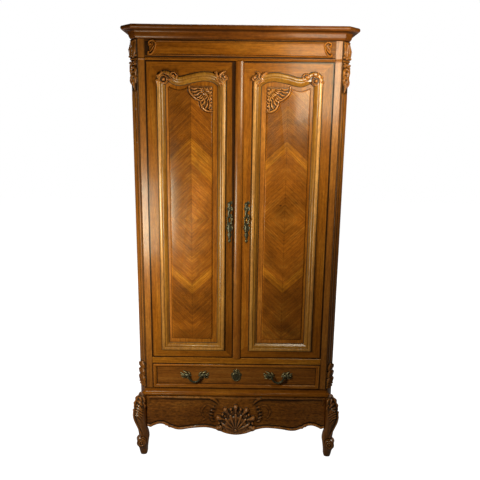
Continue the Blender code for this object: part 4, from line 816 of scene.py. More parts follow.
def buildFrieze():
    (_, _, low), (tip, _, high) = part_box("frieze_panel")
    tall, edge = high - low, case["opening"] - frieze["edge"]
    foot = [(tip - tall * u, low + tall * v) for u, v in frieze["foot"]]
    away, radius = tall * frieze["curl"][0], tall * frieze["curl"][1]
    end = np.concatenate([smoothLine(foot, 4), ovalLine((tip - away, high - radius), radius, -50, 90, 12)])
    line = np.concatenate([end, end[::-1] * np.array((-1.0, 1.0))])
    rings = [[(x, case["front"] - rise / 1000, z) for x, z in moveLine(line, -inset / 1000)]
             for inset, rise, _ in frieze["rings"]]
    parts = [loftPart(rings, [[dark] * len(line) for _, _, dark in frieze["rings"]])]
    spots = {key: [(tip + x / 1000, low + z / frieze["drawnTall"] * tall) for x, z in frieze[key]]
             for key in ("floor", "band", "leaf", "eyes")}
    strokes = [area(spots["floor"], frieze["floorHigh"], frieze["floorEdge"])]
    strokes += [stroke(spots[key], mm(frieze[key + "Wide"]), mm(frieze[key + "High"])) for key in ("band", "leaf")]
    strokes += [pearl(*spot, *mm(frieze["eye"])) for spot in spots["eyes"]]
    inset = frieze["shadowInset"]
    for (side, _), dark in zip(hands, frieze["shadows"]):
        parts.append(reliefPart(flipStrokes(strokes, side), frieze["step"], onFront(case["front"]),
                                frieze["shadeDepth"]))
        ends = sorted((side * (tip - frieze["shadowIn"]), side * edge))
        parts.append(shadowStrip((ends[0], low + inset), (ends[1], high - inset), dark))
    for bottom, top in ((low - frieze["shadowDrop"], low - inset), (high + inset, case["top"] - frieze["edge"])):
        parts.append(shadowStrip((-edge, bottom), (edge, top), frieze["rimShadow"]))
    addPiece("FriezePanel", "carcase", parts, ["rail"], ("frieze_panel",))


buildFrieze()
print("stage: frieze")

# corner posts: grooves down the cant, carved capital and drops
post = {
    "proud": 0.0065, "columns": 36, "wrap": 0.018, "wrapColumns": 10, "drawnWide": 0.0382, "fuller": 1.12,
    "ground": -0.0016, "lowFade": (0.505, 0.520), "highFade": (1.800, 1.822), "bead": (1.949, 0.009),
    "rows": (0.522, 0.0022, 12, 1.80, 0.0019),  # end of the foot, its step, shaft rows, start of the head, its step
    "grooves": ((0.0, 0.0), (0.04, -0.0004), (0.07, -0.0034), (0.16, -0.0034), (0.19, 0.0004), (0.24, 0.0010),
                (0.36, 0.0010), (0.41, 0.0004), (0.44, -0.0034), (0.53, -0.0034), (0.57, -0.0006), (0.64, 0.0002),
                (0.90, 0.0002), (0.97, -0.0004), (1.0, 0.0)),  # share across, height
    "face": ((0.0, 0.7), (0.0024, 0.3), (0.0040, -0.2)),  # in from the opening, painted shade in the gap beside the door, below zero painted sheen on the stile
    # arris: in from the leg side, sink, painted shade in the small groove, below zero painted sheen on the stile
    "arris": ((0.0058, 0.0, -0.2), (0.0050, 0.0, 0.0), (0.0036, 0.0010, 0.9), (0.0016, 0.0010, 0.9)),
    "husks": ((506, 0.85), (473, 1.0), (438, 1.12)),  # top in mm, size
    "curl": ((0.010, 1.935), 0.0085, 0.003, 90, 330), "curlWide": (4, 3.5, 2.5), "curlHigh": (7, 10, 11),
    "edgeFade": 0.0022, "firstWrap": 0.0015, "turn": (0.004, 0.020), "shadeDepth": 0.0018, "shadeRounds": 30,
    "grooveDepth": 0.0026, "groundDepth": 0.0016, "groundShade": 0.8,
}
postCarving = {
    "strokes": (
        (((-17, 2030), (13, 2030)), (5, 5), (8, 6)),
        (((0, 1966), (0, 1995), (0, 2024)), (4, 7, 6), (7, 12, 13)),
        (((0, 1856), (1, 1838), (0, 1822)), (6, 4.5, 1.5), (11, 8, 2)),
        (((21.5, 1968), (24.5, 1994), (22.5, 2024)), (4.5, 6.6, 4), (8, 12.5, 3)),
        (((19, 1928), (24.5, 1908), (19.5, 1884)), (4, 6, 3), (7, 10.5, 5)),
        (((17, 1882), (21.5, 1866), (16, 1846)), (3.5, 5.5, 2.5), (6, 9.5, 4)),
        (((-16, 395.5), (16, 395.5)), (4.8, 4.8), (10, 10))),
    "bothStrokes": (
        (((5, 1968), (13, 1990), (13, 2022)), (4, 6.2, 4.5), (7, 12.5, 6)),
        (((4, 1922), (14, 1906), (10.5, 1882)), (4, 6.2, 2.5), (8, 12, 5)),
        (((3, 1890), (11, 1873), (7.5, 1854)), (3.5, 5.5, 2.2), (7, 11, 5))),
    "pearls": ((0, 1964, 5.5, 11), (0, 1918, 6.2, 13.5), (0, 1900, 5.5, 13), (0, 1882, 5, 12), (0, 1866, 4.5, 10.5),
               (23.5, 1966, 6.2, 12), (21.5, 1938, 6, 10), (0, 383.5, 10, 12.5)),
    "bothPearls": ((14.5, 1969, 4.8, 9), (13.5, 383.5, 5.5, 9)),
}


def postStrokes():
    items = tableStrokes(postCarving) + curlPair(post)
    for top, size in post["husks"]:
        leaves = [(((15, top - 6), (23.5, top - 18), (24, top - 34 * size)), (3, 5.8 * size, 4), (6, 10.5 * size, 8))]
        leaves += [(((2 * way, top), (9.5 * way * size, top - 16), (12.5 * way * size, top - 34 * size)),
                    (2.5, 5.8 * size, 3.5), (6, 11.5 * size, 9)) for way in (-1, 0, 1)]
        items += tableStrokes({"strokes": leaves})
    return items


def buildPost(side, hand):
    footEnd, footStep, shaftRows, headStart, headStep = post["rows"]
    zs = np.unique(np.concatenate([
        np.arange(case["postLow"], footEnd, footStep), np.linspace(footEnd, headStart, shaftRows),
        np.arange(headStart, case["postHigh"], headStep), [case["postHigh"]]]))
    outer = case["half"] + post["proud"]
    start = np.array((case["legInner"], case["front"]))
    end = np.array((outer, case["front"] + outer - case["legInner"]))
    wide = np.linalg.norm(end - start)
    strokes = [{**item, "line": item["line"] * np.array((wide / post["drawnWide"], 1.0)),
                "wide": [post["fuller"] * value for value in item["wide"]]} for item in postStrokes()]
    spots = np.concatenate([np.linspace(-0.5, 0.5, post["columns"]) * wide,
                            0.5 * wide + np.linspace(post["firstWrap"], post["wrap"], post["wrapColumns"])])
    onSide = spots > 0.5 * wide + 1e-6
    share = np.clip(spots / wide + 0.5, 0, 1)
    ground = np.tile(np.where(onSide, 0.0, post["ground"]), (len(zs), 1))
    carved = carve(*np.meshgrid(spots, zs), strokes, ground)
    grooves = np.where(onSide, 0.0, np.interp(share, *zip(*post["grooves"])))
    low = np.clip((zs - post["lowFade"][0]) / np.diff(post["lowFade"]), 0, 1)
    high = np.clip((post["highFade"][1] - zs) / np.diff(post["highFade"]), 0, 1)
    weight = (low * high)[:, None]
    height = np.where(weight > 0, np.maximum(grooves * weight + ground * (1 - weight), carved), carved)
    height = height * np.clip(np.minimum(spots - spots[0], spots[-1] - spots) / post["edgeFade"], 0, 1)
    beadLow, radius = post["bead"][0], post["bead"][1] / 2
    bead = np.clip(1 - ((zs - beadLow - radius) / radius) ** 2, 0, 1) ** 0.5 * radius
    height = np.maximum(height, (bead - 10 * (bead == 0))[:, None])
    lean = math.tan(math.radians(22.5))
    turn = np.radians(45 * (1 - np.clip((spots - post["turn"][0]) / post["turn"][1], 0, 1)))
    out = np.stack([np.cos(turn), -np.sin(turn)], 1)
    # painted shade in the hollows, the grooves and the ground round the carving
    recess = recessOf(height, post["shadeDepth"], post["shadeRounds"])
    recess = np.maximum(recess, np.clip(-height / post["grooveDepth"], 0, 1) * weight)
    bottom = np.clip(-height / post["groundDepth"], 0, 1) * post["groundShade"] * (1 - weight)
    recess = np.where(weight < 1, np.maximum(recess, bottom), recess)
    rings, shade = [], []
    for z, grow, rise, dark in zip(zs, bead, height, recess):
        a = start + np.array((grow * lean, -grow))
        b = end + np.array((grow, -grow * lean))
        cant = a + (b - a) * share[:, None] + out * (rise - grow)[:, None]
        cant[:, 1] += np.where(onSide, spots - 0.5 * wide, 0.0)
        y = case["front"] - grow
        ring = [*((case["opening"] + x, y) for x, _ in post["face"]),
                *((case["legInner"] - x, y + sunk) for x, sunk, _ in post["arris"]), *cant,
                (outer + grow, case["postBack"]), (case["opening"], case["postBack"])]
        rings.append([(side * x, y, z) for x, y in ring])
        shade.append([*(row[-1] for row in post["face"] + post["arris"]), *dark, 0, 0])
    addPiece(hand.capitalize() + "Post", "carcase", [loftPart(rings, shade)], ["post"],
             (hand + "_corner_post",), sharp=50)


for side, hand in hands:
    buildPost(side, hand)
print("stage: posts")

# door mouldings, panels and carved corners, drawn for the right door and mirrored for the left
panel = {
    "inner": 0.0744, "outer": 0.3543, "low": 0.5946, "top": 1.8976, "settle": 0.007, "tongue": 0.0012,
    "shoulder": 0.024, "drop": 0.052, "sink": 0.006, "thick": 0.010, "footHighlight": 0.4,
    "step": 0.0013, "shadeDepth": 0.0008,
    "crest": ((0.71, 0.63), (0.49, 0.38), (0.30, 0.22), (0.13, 0.36), (0.0, 0.84)),  # shares of width and drop
    "fieldInner": 0.1200, "fieldOuter": 0.3193, "fieldLow": 0.6376, "fieldTop": 1.8400,
    "hook": ((0, -30), (0.5, -8), (-4, -1), (-14, -6), (-45.1, -15), (-69.4, -10.5), (-87.3, -4)),  # mm from the corner
    "fieldRings": ((0.0, 0.0), (0.6, -1.2), (1.6, -1.2), (2.4, 1.2), (3.6, 2.8), (5.6, 3.7), (7.5, 4.0)),  # mm
    "moulding": (  # out and up in mm, painted shade of the hollow; below zero, painted highlight on the upright runs
        (18.2, 0.2, 0.5), (16.8, 0.3, 1.0), (14.8, 0.4, 1.0), (14.2, 1.4, 0.8), (13.9, 5.2, 0.3), (13.2, 8.6, -0.3),
        (11.6, 11.0, -0.7), (9.0, 12.4, -0.8), (6.2, 12.9, -0.8), (3.4, 12.9, -0.8), (0.6, 12.3, -0.8),
        (-1.4, 10.9, -0.5), (-2.5, 8.9, 0.2), (-3.0, 7.8, 0.5), (-3.8, 7.6, 0.4), (-4.8, 8.0, 0.0), (-6.6, 7.9, 0.0),
        (-9.4, 6.7, 0.0), (-12.4, 4.4, 0.0), (-15.4, 1.5, 0.0), (-18.2, -1.4, 0.0), (-20.4, -3.6, 0.1),
        (-21.8, -4.8, 0.5), (-22.8, -5.5, 1.0), (-24.6, -5.7, 1.0), (-24.6, -5.9, 1.0), (-0.3, -5.7, 0.0),
        (-0.3, 0.2, 0.0)),
}
shoulder = {"lower": (0.3372, 1.8672), "upper": (0.2950, 1.8818), "beads": (116, 74, 32, -10),
            "ground": (("lower", 0.0290, -30, 112), ("upper", 0.0190, 60, 270), ("lower", 0.0205, 195, 325)),
            "groundHigh": 0.0085, "groundEdge": 0.003,
            "bead": ((0.0240, 0.0275, 0.0310), (4.6, 7.0, 6.6), (15, 23.5, 17.5)),  # reach, width, height
            "lowerRoll": (0.0195, 0.0135, -30, 330), "upperRoll": (0.0180, 0.0125, -100, -330),
            "rollWide": (3.6, 3.6, 2.2), "rollHigh": (15, 20, 16), "eye": (8.8, 24),
            "tail": (((366, 1856), (364, 1840), (359, 1820)), (5, 4.5, 1), (16, 14.5, 11))}
tuft = {"shift": {"left": -10.0, "right": 0.0}, "flutes": (-9.0, 0.5, 10.0), "pearl": (66, 1880, 9, 23),
        "ground": ((60, 1848), (92, 1848), (108, 1873), (93, 1896), (70, 1894)), "groundHigh": 0.0128, "edge": 0.004}
cartouche = {"edge": ((229, 1838.5), (228.1, 1817.7), (214.6, 1798), (194.8, 1782.1), (178.8, 1776), (177.1, 1762.2),
                      (167.5, 1742.4), (147.5, 1730.3), (127.1, 1730)), "corner": 4,  # mm, and where two scoops meet
             "heart": (0.1300, 1.8330), "lobes": ((0.14, 0.42, 1.0), (0.46, 0.68, 0.85), (0.72, 0.88, 0.7)),
             "rays": ((2, 7, 12, 17, 21), (4, 10, 16, 21)), "pearl": (146, 1827, 6.6, 16.5),
             "low": 1.7300, "high": 1.8400, "inner": 0.1240, "outer": 0.2290, "ground": (0.0020, 0.003),  # rise, edge
             "lip": (-0.004, 0.003), "lipWide": (3, 5.2, 5, 3), "lipHigh": (8, 13.5, 12.5, 8),
             "bend": 0.0035, "lobeWide": (2.6, 5, 3.6), "lobeHigh": (7, 13, 10), "rungs": 7, "rungStep": 14.8}


def wayAt(angle):
    return np.array((math.cos(math.radians(angle)), math.sin(math.radians(angle))))


def panelLine(settle=0.0, steps=7):
    outer, inner, top, radius = panel["outer"], panel["inner"], panel["top"], panel["shoulder"]
    arc = ovalLine((outer - radius, top - settle - radius), radius, 0, 125, 5 * steps)
    crest = [(inner + (outer - inner) * u, top - panel["drop"] * v) for u, v in panel["crest"]]
    curve = smoothLine([arc[-2], arc[-1], *crest], steps)[steps + 1:]
    return np.concatenate([[(outer, panel["low"])], arc, curve, [(inner, panel["low"])]])


def shoulderStrokes():
    lower, upper = np.array(shoulder["lower"]), np.array(shoulder["upper"])
    rolls = mm(shoulder["rollWide"]), mm(shoulder["rollHigh"])
    ground = np.concatenate([ovalLine(shoulder[spot], *arc, 14) for spot, *arc in shoulder["ground"]])
    items = [area(ground, shoulder["groundHigh"], shoulder["groundEdge"]),
             *tableStrokes({"strokes": [shoulder["tail"]]}),
             scroll(lower, *shoulder["lowerRoll"], *rolls), scroll(upper, *shoulder["upperRoll"], *rolls)]
    items += [rayStroke(lower, wayAt(tilt), *shoulder["bead"]) for tilt in shoulder["beads"]]
    return items + [pearl(*spot, *mm(shoulder["eye"])) for spot in (lower, upper)]


def tuftStrokes(shift):
    rows = [(((74 + step, 1847 - 0.6 * step), (83 + step, 1864 - 0.7 * step), (99 + step, 1878 - 1.3 * step)),
             (2.5, 4, 2.5), (13.5, 16.5, 13.5)) for step in tuft["flutes"]]  # a fluted leaf lies over the corner
    rows += [(((95, 1880), (103, 1890), (114 + shift, 1898), (122 + shift, 1899.5)), (5.5, 7.6, 6.4, 3),
              (17, 22.5, 18, 9)),
             (((85, 1878), (85, 1890), (79 + 0.6 * shift, 1900), (71 + 0.6 * shift, 1903)), (5.5, 8, 6.8, 3),
              (18, 23.5, 19, 9)),
             (((64, 1866), (57, 1874), (58, 1884)), (4.5, 5.5, 3), (13, 17, 10))]
    ground = area(mm(tuft["ground"]), tuft["groundHigh"], tuft["edge"])
    return [ground, *tableStrokes({"strokes": rows, "pearls": [tuft["pearl"]]})]


def cartoucheEdges():
    edge, corner = mm(cartouche["edge"]), cartouche["corner"]
    return smoothLine(edge[:corner + 1]), smoothLine(edge[corner:])


def cartoucheStrokes():
    first, second = cartoucheEdges()
    inner, high = cartouche["inner"], cartouche["high"]
    ground = [(inner, cartouche["low"]), *second[::-1], *first[::-1], (cartouche["outer"], high), (inner, high)]
    items = [area(ground, *cartouche["ground"]), pearl(*mm(cartouche["pearl"]))]
    for edge, spots in zip((first, second), cartouche["rays"]):  # each scoop has a rolled lip and rows of lobes
        items.append(lineStroke(edge + cartouche["lip"], mm(cartouche["lipWide"]), mm(cartouche["lipHigh"])))
        for spot in edge[list(spots)]:
            reach = np.array(cartouche["heart"]) - spot
            way = reach / np.linalg.norm(reach)
            for start, end, size in cartouche["lobes"]:
                a, b = spot + reach * start, spot + reach * end
                bend = 0.5 * (a + b) + cartouche["bend"] * np.array((-way[1], way[0]))
                tip, *rest = cartouche["lobeWide"]
                wide = mm([tip, *(size * value for value in rest)])
                items.append(stroke([b, bend, a], wide, mm(cartouche["lobeHigh"])))
    for k in range(cartouche["rungs"]):
        drop = cartouche["rungStep"] * k
        rung = ((126.2, 1830 - drop), (132.5 + 2 * (k % 2), 1828 - drop))
        items.append(stroke(mm(rung), mm((4.6, 4.2)), mm((11.5, 12))))
    return items


def fieldOutline():
    inner, outer, low, top = panel["fieldInner"], panel["fieldOuter"], panel["fieldLow"], panel["fieldTop"]
    hook = smoothLine(mm(panel["hook"]) + (outer, top))
    first, second = cartoucheEdges()
    return np.concatenate([[(outer, low)], hook, first[1:], second[1:-1], [(inner, second[-1][1]), (inner, low)]])


def buildMoulding(side, hand):
    profile, line = panel["moulding"], panelLine(panel["settle"])
    rows = [(moveLine(line, out / 1000), case["front"] - up / 1000) for out, up, _ in profile]
    rings = [[(side * row[i, 0], y, row[i, 1]) for row, y in rows] for i in range(len(line))]
    step = np.roll(line, -1, axis=0) - np.roll(line, 1, axis=0)
    upright = np.clip(1.5 * np.abs(step[:, 1]) / np.hypot(step[:, 0], step[:, 1]) - 0.5, 0.0, 1.0)
    upright = np.where(line[:, 1] < panel["low"] + 1e-6, panel["footHighlight"], upright)
    hollow = np.tile([dark for _, _, dark in profile], (len(line), 1))
    hollow = np.where(hollow < 0, hollow * upright[:, None], hollow)  # painted highlight on the upright runs only, fading towards the foot
    carvings = [(*reliefPart(strokes, panel["step"], onFront(case["front"], side), panel["shadeDepth"]), 1)
                for strokes in (shoulderStrokes(), tuftStrokes(tuft["shift"][hand]))]
    addPiece(hand.capitalize() + "DoorMoulding", hand + "_door", [loftPart(rings, hollow, closed=True), *carvings],
             ["moulding", "carved"], (hand + "_door_moulding",))


def buildPanel(side, hand):
    strip = case["front"] + panel["sink"]
    back = strip + panel["thick"]
    edge, outline = moveLine(panelLine(), panel["tongue"]), fieldOutline()
    steps = mm(panel["fieldRings"])
    loops = [moveLine(outline, -inset) for inset, _ in steps]
    across, along = (np.roll(outline, -1, axis=0) - np.roll(outline, 1, axis=0)).T
    facing = side * along / np.maximum(np.abs(along), np.abs(across) + 1e-6)
    leftEdgeHighlight = np.where(facing < -0.7, -1.0, 0.0)  # painted highlight on the bevel edges that face left
    # painted shade in the groove round the field
    shade = [np.full(len(outline), 0.9) if rise < 0 else leftEdgeHighlight * (rise < 0.0038) for _, rise in steps]
    bevel = loftPart([[(x, strip - rise, z) for x, z in loop] for loop, (_, rise) in zip(loops, steps)], shade, caps=0)
    sides = loftPart([[(x, y, z) for x, z in edge] for y in (strip, back)], caps=0)
    parts = [bevel, fillPart([loops[-1]], strip - steps[-1][1]), (*fillPart([edge, outline], strip), 1), (*sides, 1),
             (*fillPart([edge], back), 1)]
    addPiece(hand.capitalize() + "DoorPanel", hand + "_door", [mirrorPart(part, side) for part in parts],
             ["veneer" + hand.capitalize(), "strip"], (hand + "_door_panel",), sharp=30, weld=1e-6)
    addPiece(hand.capitalize() + "DoorCartouche", hand + "_door",
             [reliefPart(cartoucheStrokes(), panel["step"], onFront(strip, side))], ["carved"])


for side, hand in hands:
    buildMoulding(side, hand)
    buildPanel(side, hand)
print("stage: door faces")

# meeting strip on the right door
# the left lip is darkened as the strip's painted shadow, the right lip with painted shade
meeting = {"lip": 0.14, "half": 0.95, "arc": (12, 168, 22), "bulge": 0.9, "leftShadow": 1.0, "rightShade": (0.5, 0.6, 0.6)}


def buildMeetingStrip():
    low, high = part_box("door_astragal")
    lip, half = meeting["lip"], meeting["half"]
    profile = [(u, v, meeting["leftShadow"]) for u, v in ((-1.0, 0.0), (-1.0, lip), (-half, lip))]
    profile += [(-half * math.cos(a), lip + (1 - lip) * math.sin(a) ** meeting["bulge"], 0.0)
                for a in np.radians(np.linspace(*meeting["arc"]))]
    profile += [(u, v, dark) for (u, v), dark in zip(((half, lip), (1.0, lip), (1.0, 0.0)), meeting["rightShade"])]
    back = case["front"] - gap
    section = [(high.x * u, back - (back - low.y) * v) for u, v, _ in profile]
    part = loftPart([[(x, y, z) for x, y in section] for z in (low.z, high.z)], [[dark for _, _, dark in profile]] * 2)
    addPiece("MeetingStrip", "right_door", [part], ["meeting"], ("door_astragal",), sharp=30)


buildMeetingStrip()

# base moulding
base = {"out": 0.018, "return": 0.009, "rail": 0.030, "profile": (  # out and up as shares, painted shade of the hollow
    (0.02, 0.0, 0.9), (0.62, 0.0, 0.9), (0.86, 0.02, 0.3), (0.97, 0.08, 0.0), (1.0, 0.17, 0.0), (0.96, 0.26, 0.0),
    (0.84, 0.33, 0.0), (0.66, 0.39, 0.0), (0.50, 0.47, 0.0), (0.38, 0.58, 0.0), (0.31, 0.70, 0.0), (0.28, 0.82, 0.0),
    (0.27, 0.88, 0.2), (0.16, 0.91, 0.7), (0.14, 1.0, 0.5), (0.02, 1.0, 0.9))}


def barPart(half, corners):  # a bar from side to side, its section in y and z
    return loftPart([[(x, y, z) for y, z in corners] for x in (-half, half)])


def buildBaseMoulding():
    slant, front, low, high = base["return"] / math.sqrt(2), case["front"], case["baseLow"], case["baseTop"]
    corner = case["legInner"]
    path = [(-corner - slant, front + slant), (-corner, front), (corner, front), (corner + slant, front + slant)]
    lines = [(moveLine(path, base["out"] * out, closed=False), low + (high - low) * up)
             for out, up, _ in base["profile"]]
    rings = [[(*line[i], z) for line, z in lines] for i in range(len(path))]
    deep, near = front + base["rail"], front - 0.1 * base["out"]
    rail = barPart(case["opening"] - gap, [(near, low), (deep, low), (deep, high), (near, high)])
    addPiece("BaseMoulding", "carcase", [loftPart(rings, [[dark for _, _, dark in base["profile"]]] * 4), rail],
             ["rail"], ("base_moulding",), sharp=30)


buildBaseMoulding()

# drawer front
drawer = {"border": (  # inset and up in mm, painted shade of the hollow, below zero painted highlight
    (0.0, 0.0, 0.8), (0.6, 1.6, 0.2), (1.6, 3.2, 0.0), (3.4, 4.6, -0.5), (6.0, 5.4, -0.6), (9.0, 5.2, -0.4),
    (12.0, 4.2, 0.0), (14.6, 2.4, 0.0), (16.6, 0.2, 0.0), (18.0, -2.0, 0.0), (18.8, -4.0, 0.5), (19.4, -5.6, 1.0),
    (21.4, -6.0, 1.0))}


def buildDrawerFront():
    low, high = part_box("drawer_front")
    edge = [(low.x, low.z), (high.x, low.z), (high.x, high.z), (low.x, high.z)]
    rings, shade = [[(x, high.y, z) for x, z in edge]], [[0.0] * 4]
    for inset, up, dark in drawer["border"]:
        line, y = moveLine(edge, -inset / 1000), case["front"] - up / 1000
        rings.append([(x, y, z) for x, z in line])
        shade.append([dark] * 4)
    addPiece("DrawerFront", "drawer", [loftPart(rings, shade, caps=1), (*fillPart([line], y), 1)],
             ["drawerBorder", "drawer"], ("drawer_front",), sharp=30)


buildDrawerFront()
print("stage: meeting strip, base moulding, drawer front")

# apron with beaded edge and low carving
apron = {
    "columns": 300, "rows": 44, "thick": 0.020, "tongue": 0.008, "high": 0.3290, "depth": 0.215,
    "edge": ((-0.10, 0.03), (0.0, 0.0), (0.10, 0.03), (0.185, 0.10), (0.25, 0.155), (0.35, 0.19), (0.50, 0.165),
             (0.61, 0.125), (0.675, 0.13), (0.735, 0.175)),  # shares of half the width and of the depth
    "hollow": ((0.71, 0.05), (0.755, 0.19), (0.85, 0.27), (0.955, 0.19), (1.02, 0.05)), "end": (1.0, 0.20),
    "bead": (0.0066, 0.0050, 0.0070), "groove": (0.0018, 0.0142, 0.003),  # height, middle, reach
    "topLighter": 0.3165, "edgeHighlight": 0.0105, "shadeDepth": 0.0011, "shadeRounds": 24,
}
apronCarving = {
    "bothStrokes": (
        (((442, 290), (443, 308), (430, 320), (300, 322), (130, 322)), (4, 6, 7, 7.5, 7.5), (2, 4, 6, 6, 6)),
        (((130, 320.5), (106, 308), (86, 285)), (7, 6.5, 3), (6, 6.5, 3)),
        (((118, 272), (150, 280), (173, 254), (169, 223), (148, 205)), (2, 3.6, 4.2, 3.6, 2), (2, 3, 3.4, 3, 2)),
        (((148, 204), (164, 199), (172, 188)), (3, 4, 2), (2, 3, 2)),
        *((((x, z), (x + 10, z + 4), (x + 20, z + 1 + 3 * k)), (4, 5.2, 2), (5, 6.5, 2))
          for k, (x, z) in enumerate(((104, 264), (113, 246), (118, 227), (117, 208), (110, 190))))),
    "bothPearls": ((148, 244, 4, 3), (358, 166, 7.5, 9), (343, 156, 8.5, 9), (438, 160, 9, 10), (88, 142, 9.5, 10)),
}


def buildApron():
    line = np.concatenate([smoothLine(apron["edge"], 8)[8:], smoothLine(apron["hollow"], 8)[8:-8], [apron["end"]]])
    half, front, count = apronBox[1].x, case["front"], apron["columns"]
    back, high = front + apron["thick"], apron["high"]
    xs = np.linspace(-half, half, count)
    low = np.interp(np.abs(xs), half * line[:, 0], apronBox[0].z + apron["depth"] * line[:, 1])
    px = np.tile(xs, (apron["rows"], 1))
    pz = low + (high - low) * (np.linspace(0, 1, apron["rows"]) ** 1.25)[:, None]
    away = (pz - low) * np.cos(np.arctan(np.gradient(low, xs)))
    rise, middle, reach = apron["bead"]
    bead = rise * np.sqrt(np.clip(1 - ((away - middle) / reach) ** 2, 0, 1))
    sunk, middle, reach = apron["groove"]
    groove = np.clip(1.3 - np.abs(away - middle) / reach, 0, 1)
    height = np.maximum(carve(px, pz, tableStrokes(apronCarving), 0.0), bead) - sunk * groove
    # painted shade in the hollows and the groove, painted highlight along the bead
    shade = np.maximum(recessOf(height, apron["shadeDepth"], apron["shadeRounds"]), groove)
    # the strip along the top is drawn lighter
    shade = np.where(pz > apron["topLighter"], np.minimum(shade, -0.6), shade)
    shade = np.where(away < apron["edgeHighlight"], -1.0, shade)
    rear = [np.stack([xs, np.full(count, back), z], 1) for z in (np.full(count, high), low)]
    rings = np.concatenate([np.stack([px, front - height, pz], 2), rear]).transpose(1, 0, 2)
    board = loftPart(rings, np.concatenate([shade, np.zeros((2, count))]).T)
    near, foot, roof = back - apron["tongue"], high - apron["thick"], case["baseLow"] - gap
    tongue = barPart(case["opening"] - gap, [(near, foot), (back, foot), (back, roof), (near, roof)])
    addPiece("Apron", "carcase", [board, tongue], ["apron"], ("apron",), sharp=45)


buildApron()

# shell
shell = {
    "lobes": 7, "centre": (0.0, 0.1752), "wide": 0.095, "tall": 0.098, "spread": 206, "heart": 0.036, "ribs": 7,
    "foot": ((-60, -40), (-30, -54), (0, -57), (30, -54), (60, -40)),  # mm from the centre
    "domeFoot": ((-47, -44), (-26, -55), (0, -58), (26, -55), (47, -44)),
    "beads": ((0.90, 0.0062, 0.0160), (0.74, 0.0050, 0.0115)),  # reach, radius, height
    "groundHigh": 0.0030, "groundEdge": 0.004, "domeSize": (0.060, 0.066), "domeUp": 0.016, "domeHigh": 0.0095,
    "domeEdge": 0.012, "ribSize": (0.070, 0.088), "step": 0.0017, "shadeDepth": 0.0009,
    "lobe": ((0.62, 0.78, 0.98), (4.5, 8, 10.5), (5.5, 9.5, 13)), "tip": ((0.86, 1.0), (8.5, 12), (15, 19.9)),
    "rib": ((0.22, 0.62, 1.0), (4, 8.2, 7.4), (11, 13.8, 10.5)),  # reach, width, height
    "curl": ((0.080, -0.022), 0.011, 0.004, 90, 360), "curlWide": (4.5, 3.5, 2.5), "curlHigh": (10, 13, 14),
}
shellCarving = {
    "pearls": ((0, -34, 10.5, 15),),
    "bothStrokes": ((((8, -10), (40, -30), (68, -26)), (6, 9.5, 4), (10, 11.5, 7), "gouge"),
                    (((6, -24), (26, -44), (46, -47)), (5, 8, 3), (11, 12, 7), "gouge")),
}


def shellStrokes():
    centre, size = np.array(shell["centre"]), np.array((shell["wide"], shell["tall"]))
    angles = np.linspace(90 - shell["spread"] / 2, 90 + shell["spread"] / 2, shell["lobes"])
    ground = [*ovalLine(centre, 0.93 * size, -14, 194, 40), *(centre + mm(shell["foot"]))]
    items = [area(ground, shell["groundHigh"], shell["groundEdge"])]
    for way in (size * wayAt(a) for a in angles):
        items += [rayStroke(centre, way, *shell[key]) for key in ("lobe", "tip")]
    for a in (angles[1:] + angles[:-1]) / 2:
        items += [pearl(*(centre + reach * size * wayAt(a)), radius, high) for reach, radius, high in shell["beads"]]
    heart = centre - np.array((0.0, shell["heart"]))
    dome = ovalLine(heart + (0.0, shell["domeUp"]), shell["domeSize"], 0, 180, 24)
    items.append(area([*dome, *(centre + mm(shell["domeFoot"]))], shell["domeHigh"], shell["domeEdge"]))
    for a in np.linspace(22, 158, shell["ribs"]):
        items.append(rayStroke(heart, np.array(shell["ribSize"]) * wayAt(a), *shell["rib"]))
    return items + shiftStrokes([*tableStrokes(shellCarving), *curlPair(shell)], *centre)


shellPart = reliefPart(shellStrokes(), shell["step"], onFront(case["front"]), shell["shadeDepth"])
addPiece("ApronShell", "carcase", [shellPart], ["shell"], ("apron_shell",), sharp=60)
print("stage: apron and shell")

# cabriole legs
leg = {
    "sides": 72, "spread": 0.034, "thin": 0.0030, "thinFrom": 0.09, "out": 0.5240, "front": -0.2596, "corners": 0.03,
    "knee": 0.0395, "hip": 0.1564, "blockLow": 0.150, "blockLap": 0.0045,
    "kneeRows": ((1.0, 0.42), (0.82, 0.78), (0.62, 1.02), (0.43, 1.08), (0.25, 0.98), (0.0, 0.74)),  # height, bulge
    "calf": (0.84, 0.64, 0.00754),  # share of the hip's height, bulge, how much narrower
    "footRows": ((0.64, 0.5040, 0.4420), (0.485, 0.5090, 0.4455), (0.375, 0.5105, 0.4484), (0.22, 0.5018, 0.4524),
                 (0.09, 0.4975, 0.4545), (0.0, 0.4932, 0.4588)),  # share of the hip's height, outer, inner
    "scrollSpot": (0.4850, -0.2262, 0.0790), "scrollRadius": 0.0245, "scrollLength": 0.046, "scrollTurn": 12,
    "scrollRings": ((-0.5, 0.93), (-0.47, 1.0), (-0.2, 0.93), (0, 0.90), (0.2, 0.93), (0.47, 1.0), (0.5, 0.93)),
    "curls": (((-10, 328), (-22, 325), (-34, 310), 6.8), ((-36, 330), (-48, 321), (-55, 302), 6.0),
              ((-10, 310), (-24, 306), (-40, 290), 7.0), ((-48, 300), (-56, 288), (-58, 272), 5.5),
              ((16, 326), (30, 316), (40, 296), 7.5), ((15, 300), (28, 290), (36, 272), 7.0),
              ((14, 258), (28, 250), (36, 230), 7.0), ((12, 232), (24, 222), (30, 202), 6.0)),  # mm, width last
    "flutes": (44, 50, 49, 45, 40), "veins": 4, "shadeDepth": 0.0016, "shadeRounds": 30,
    "leaves": ((((2, 334), (8, 304), (6, 276)), (6, 8.5, 4), (6, 8.5, 6)),
               (((4, 264), (3, 215), (-8, 165), (-16, 112)), (5, 7.5, 7, 4), (6, 8, 6, 3))),
    "endStep": 0.0011, "endDepth": 0.0010, "eye": (0, 0, 5, 5.8), "disc": 0.0235, "discHigh": 0.0010,
    "endCurl": (0.0190, 0.0100, 100), "endTurn": 480, "endWide": (4.6, 4, 2.8), "endHigh": (4.5, 5.2, 5),
}


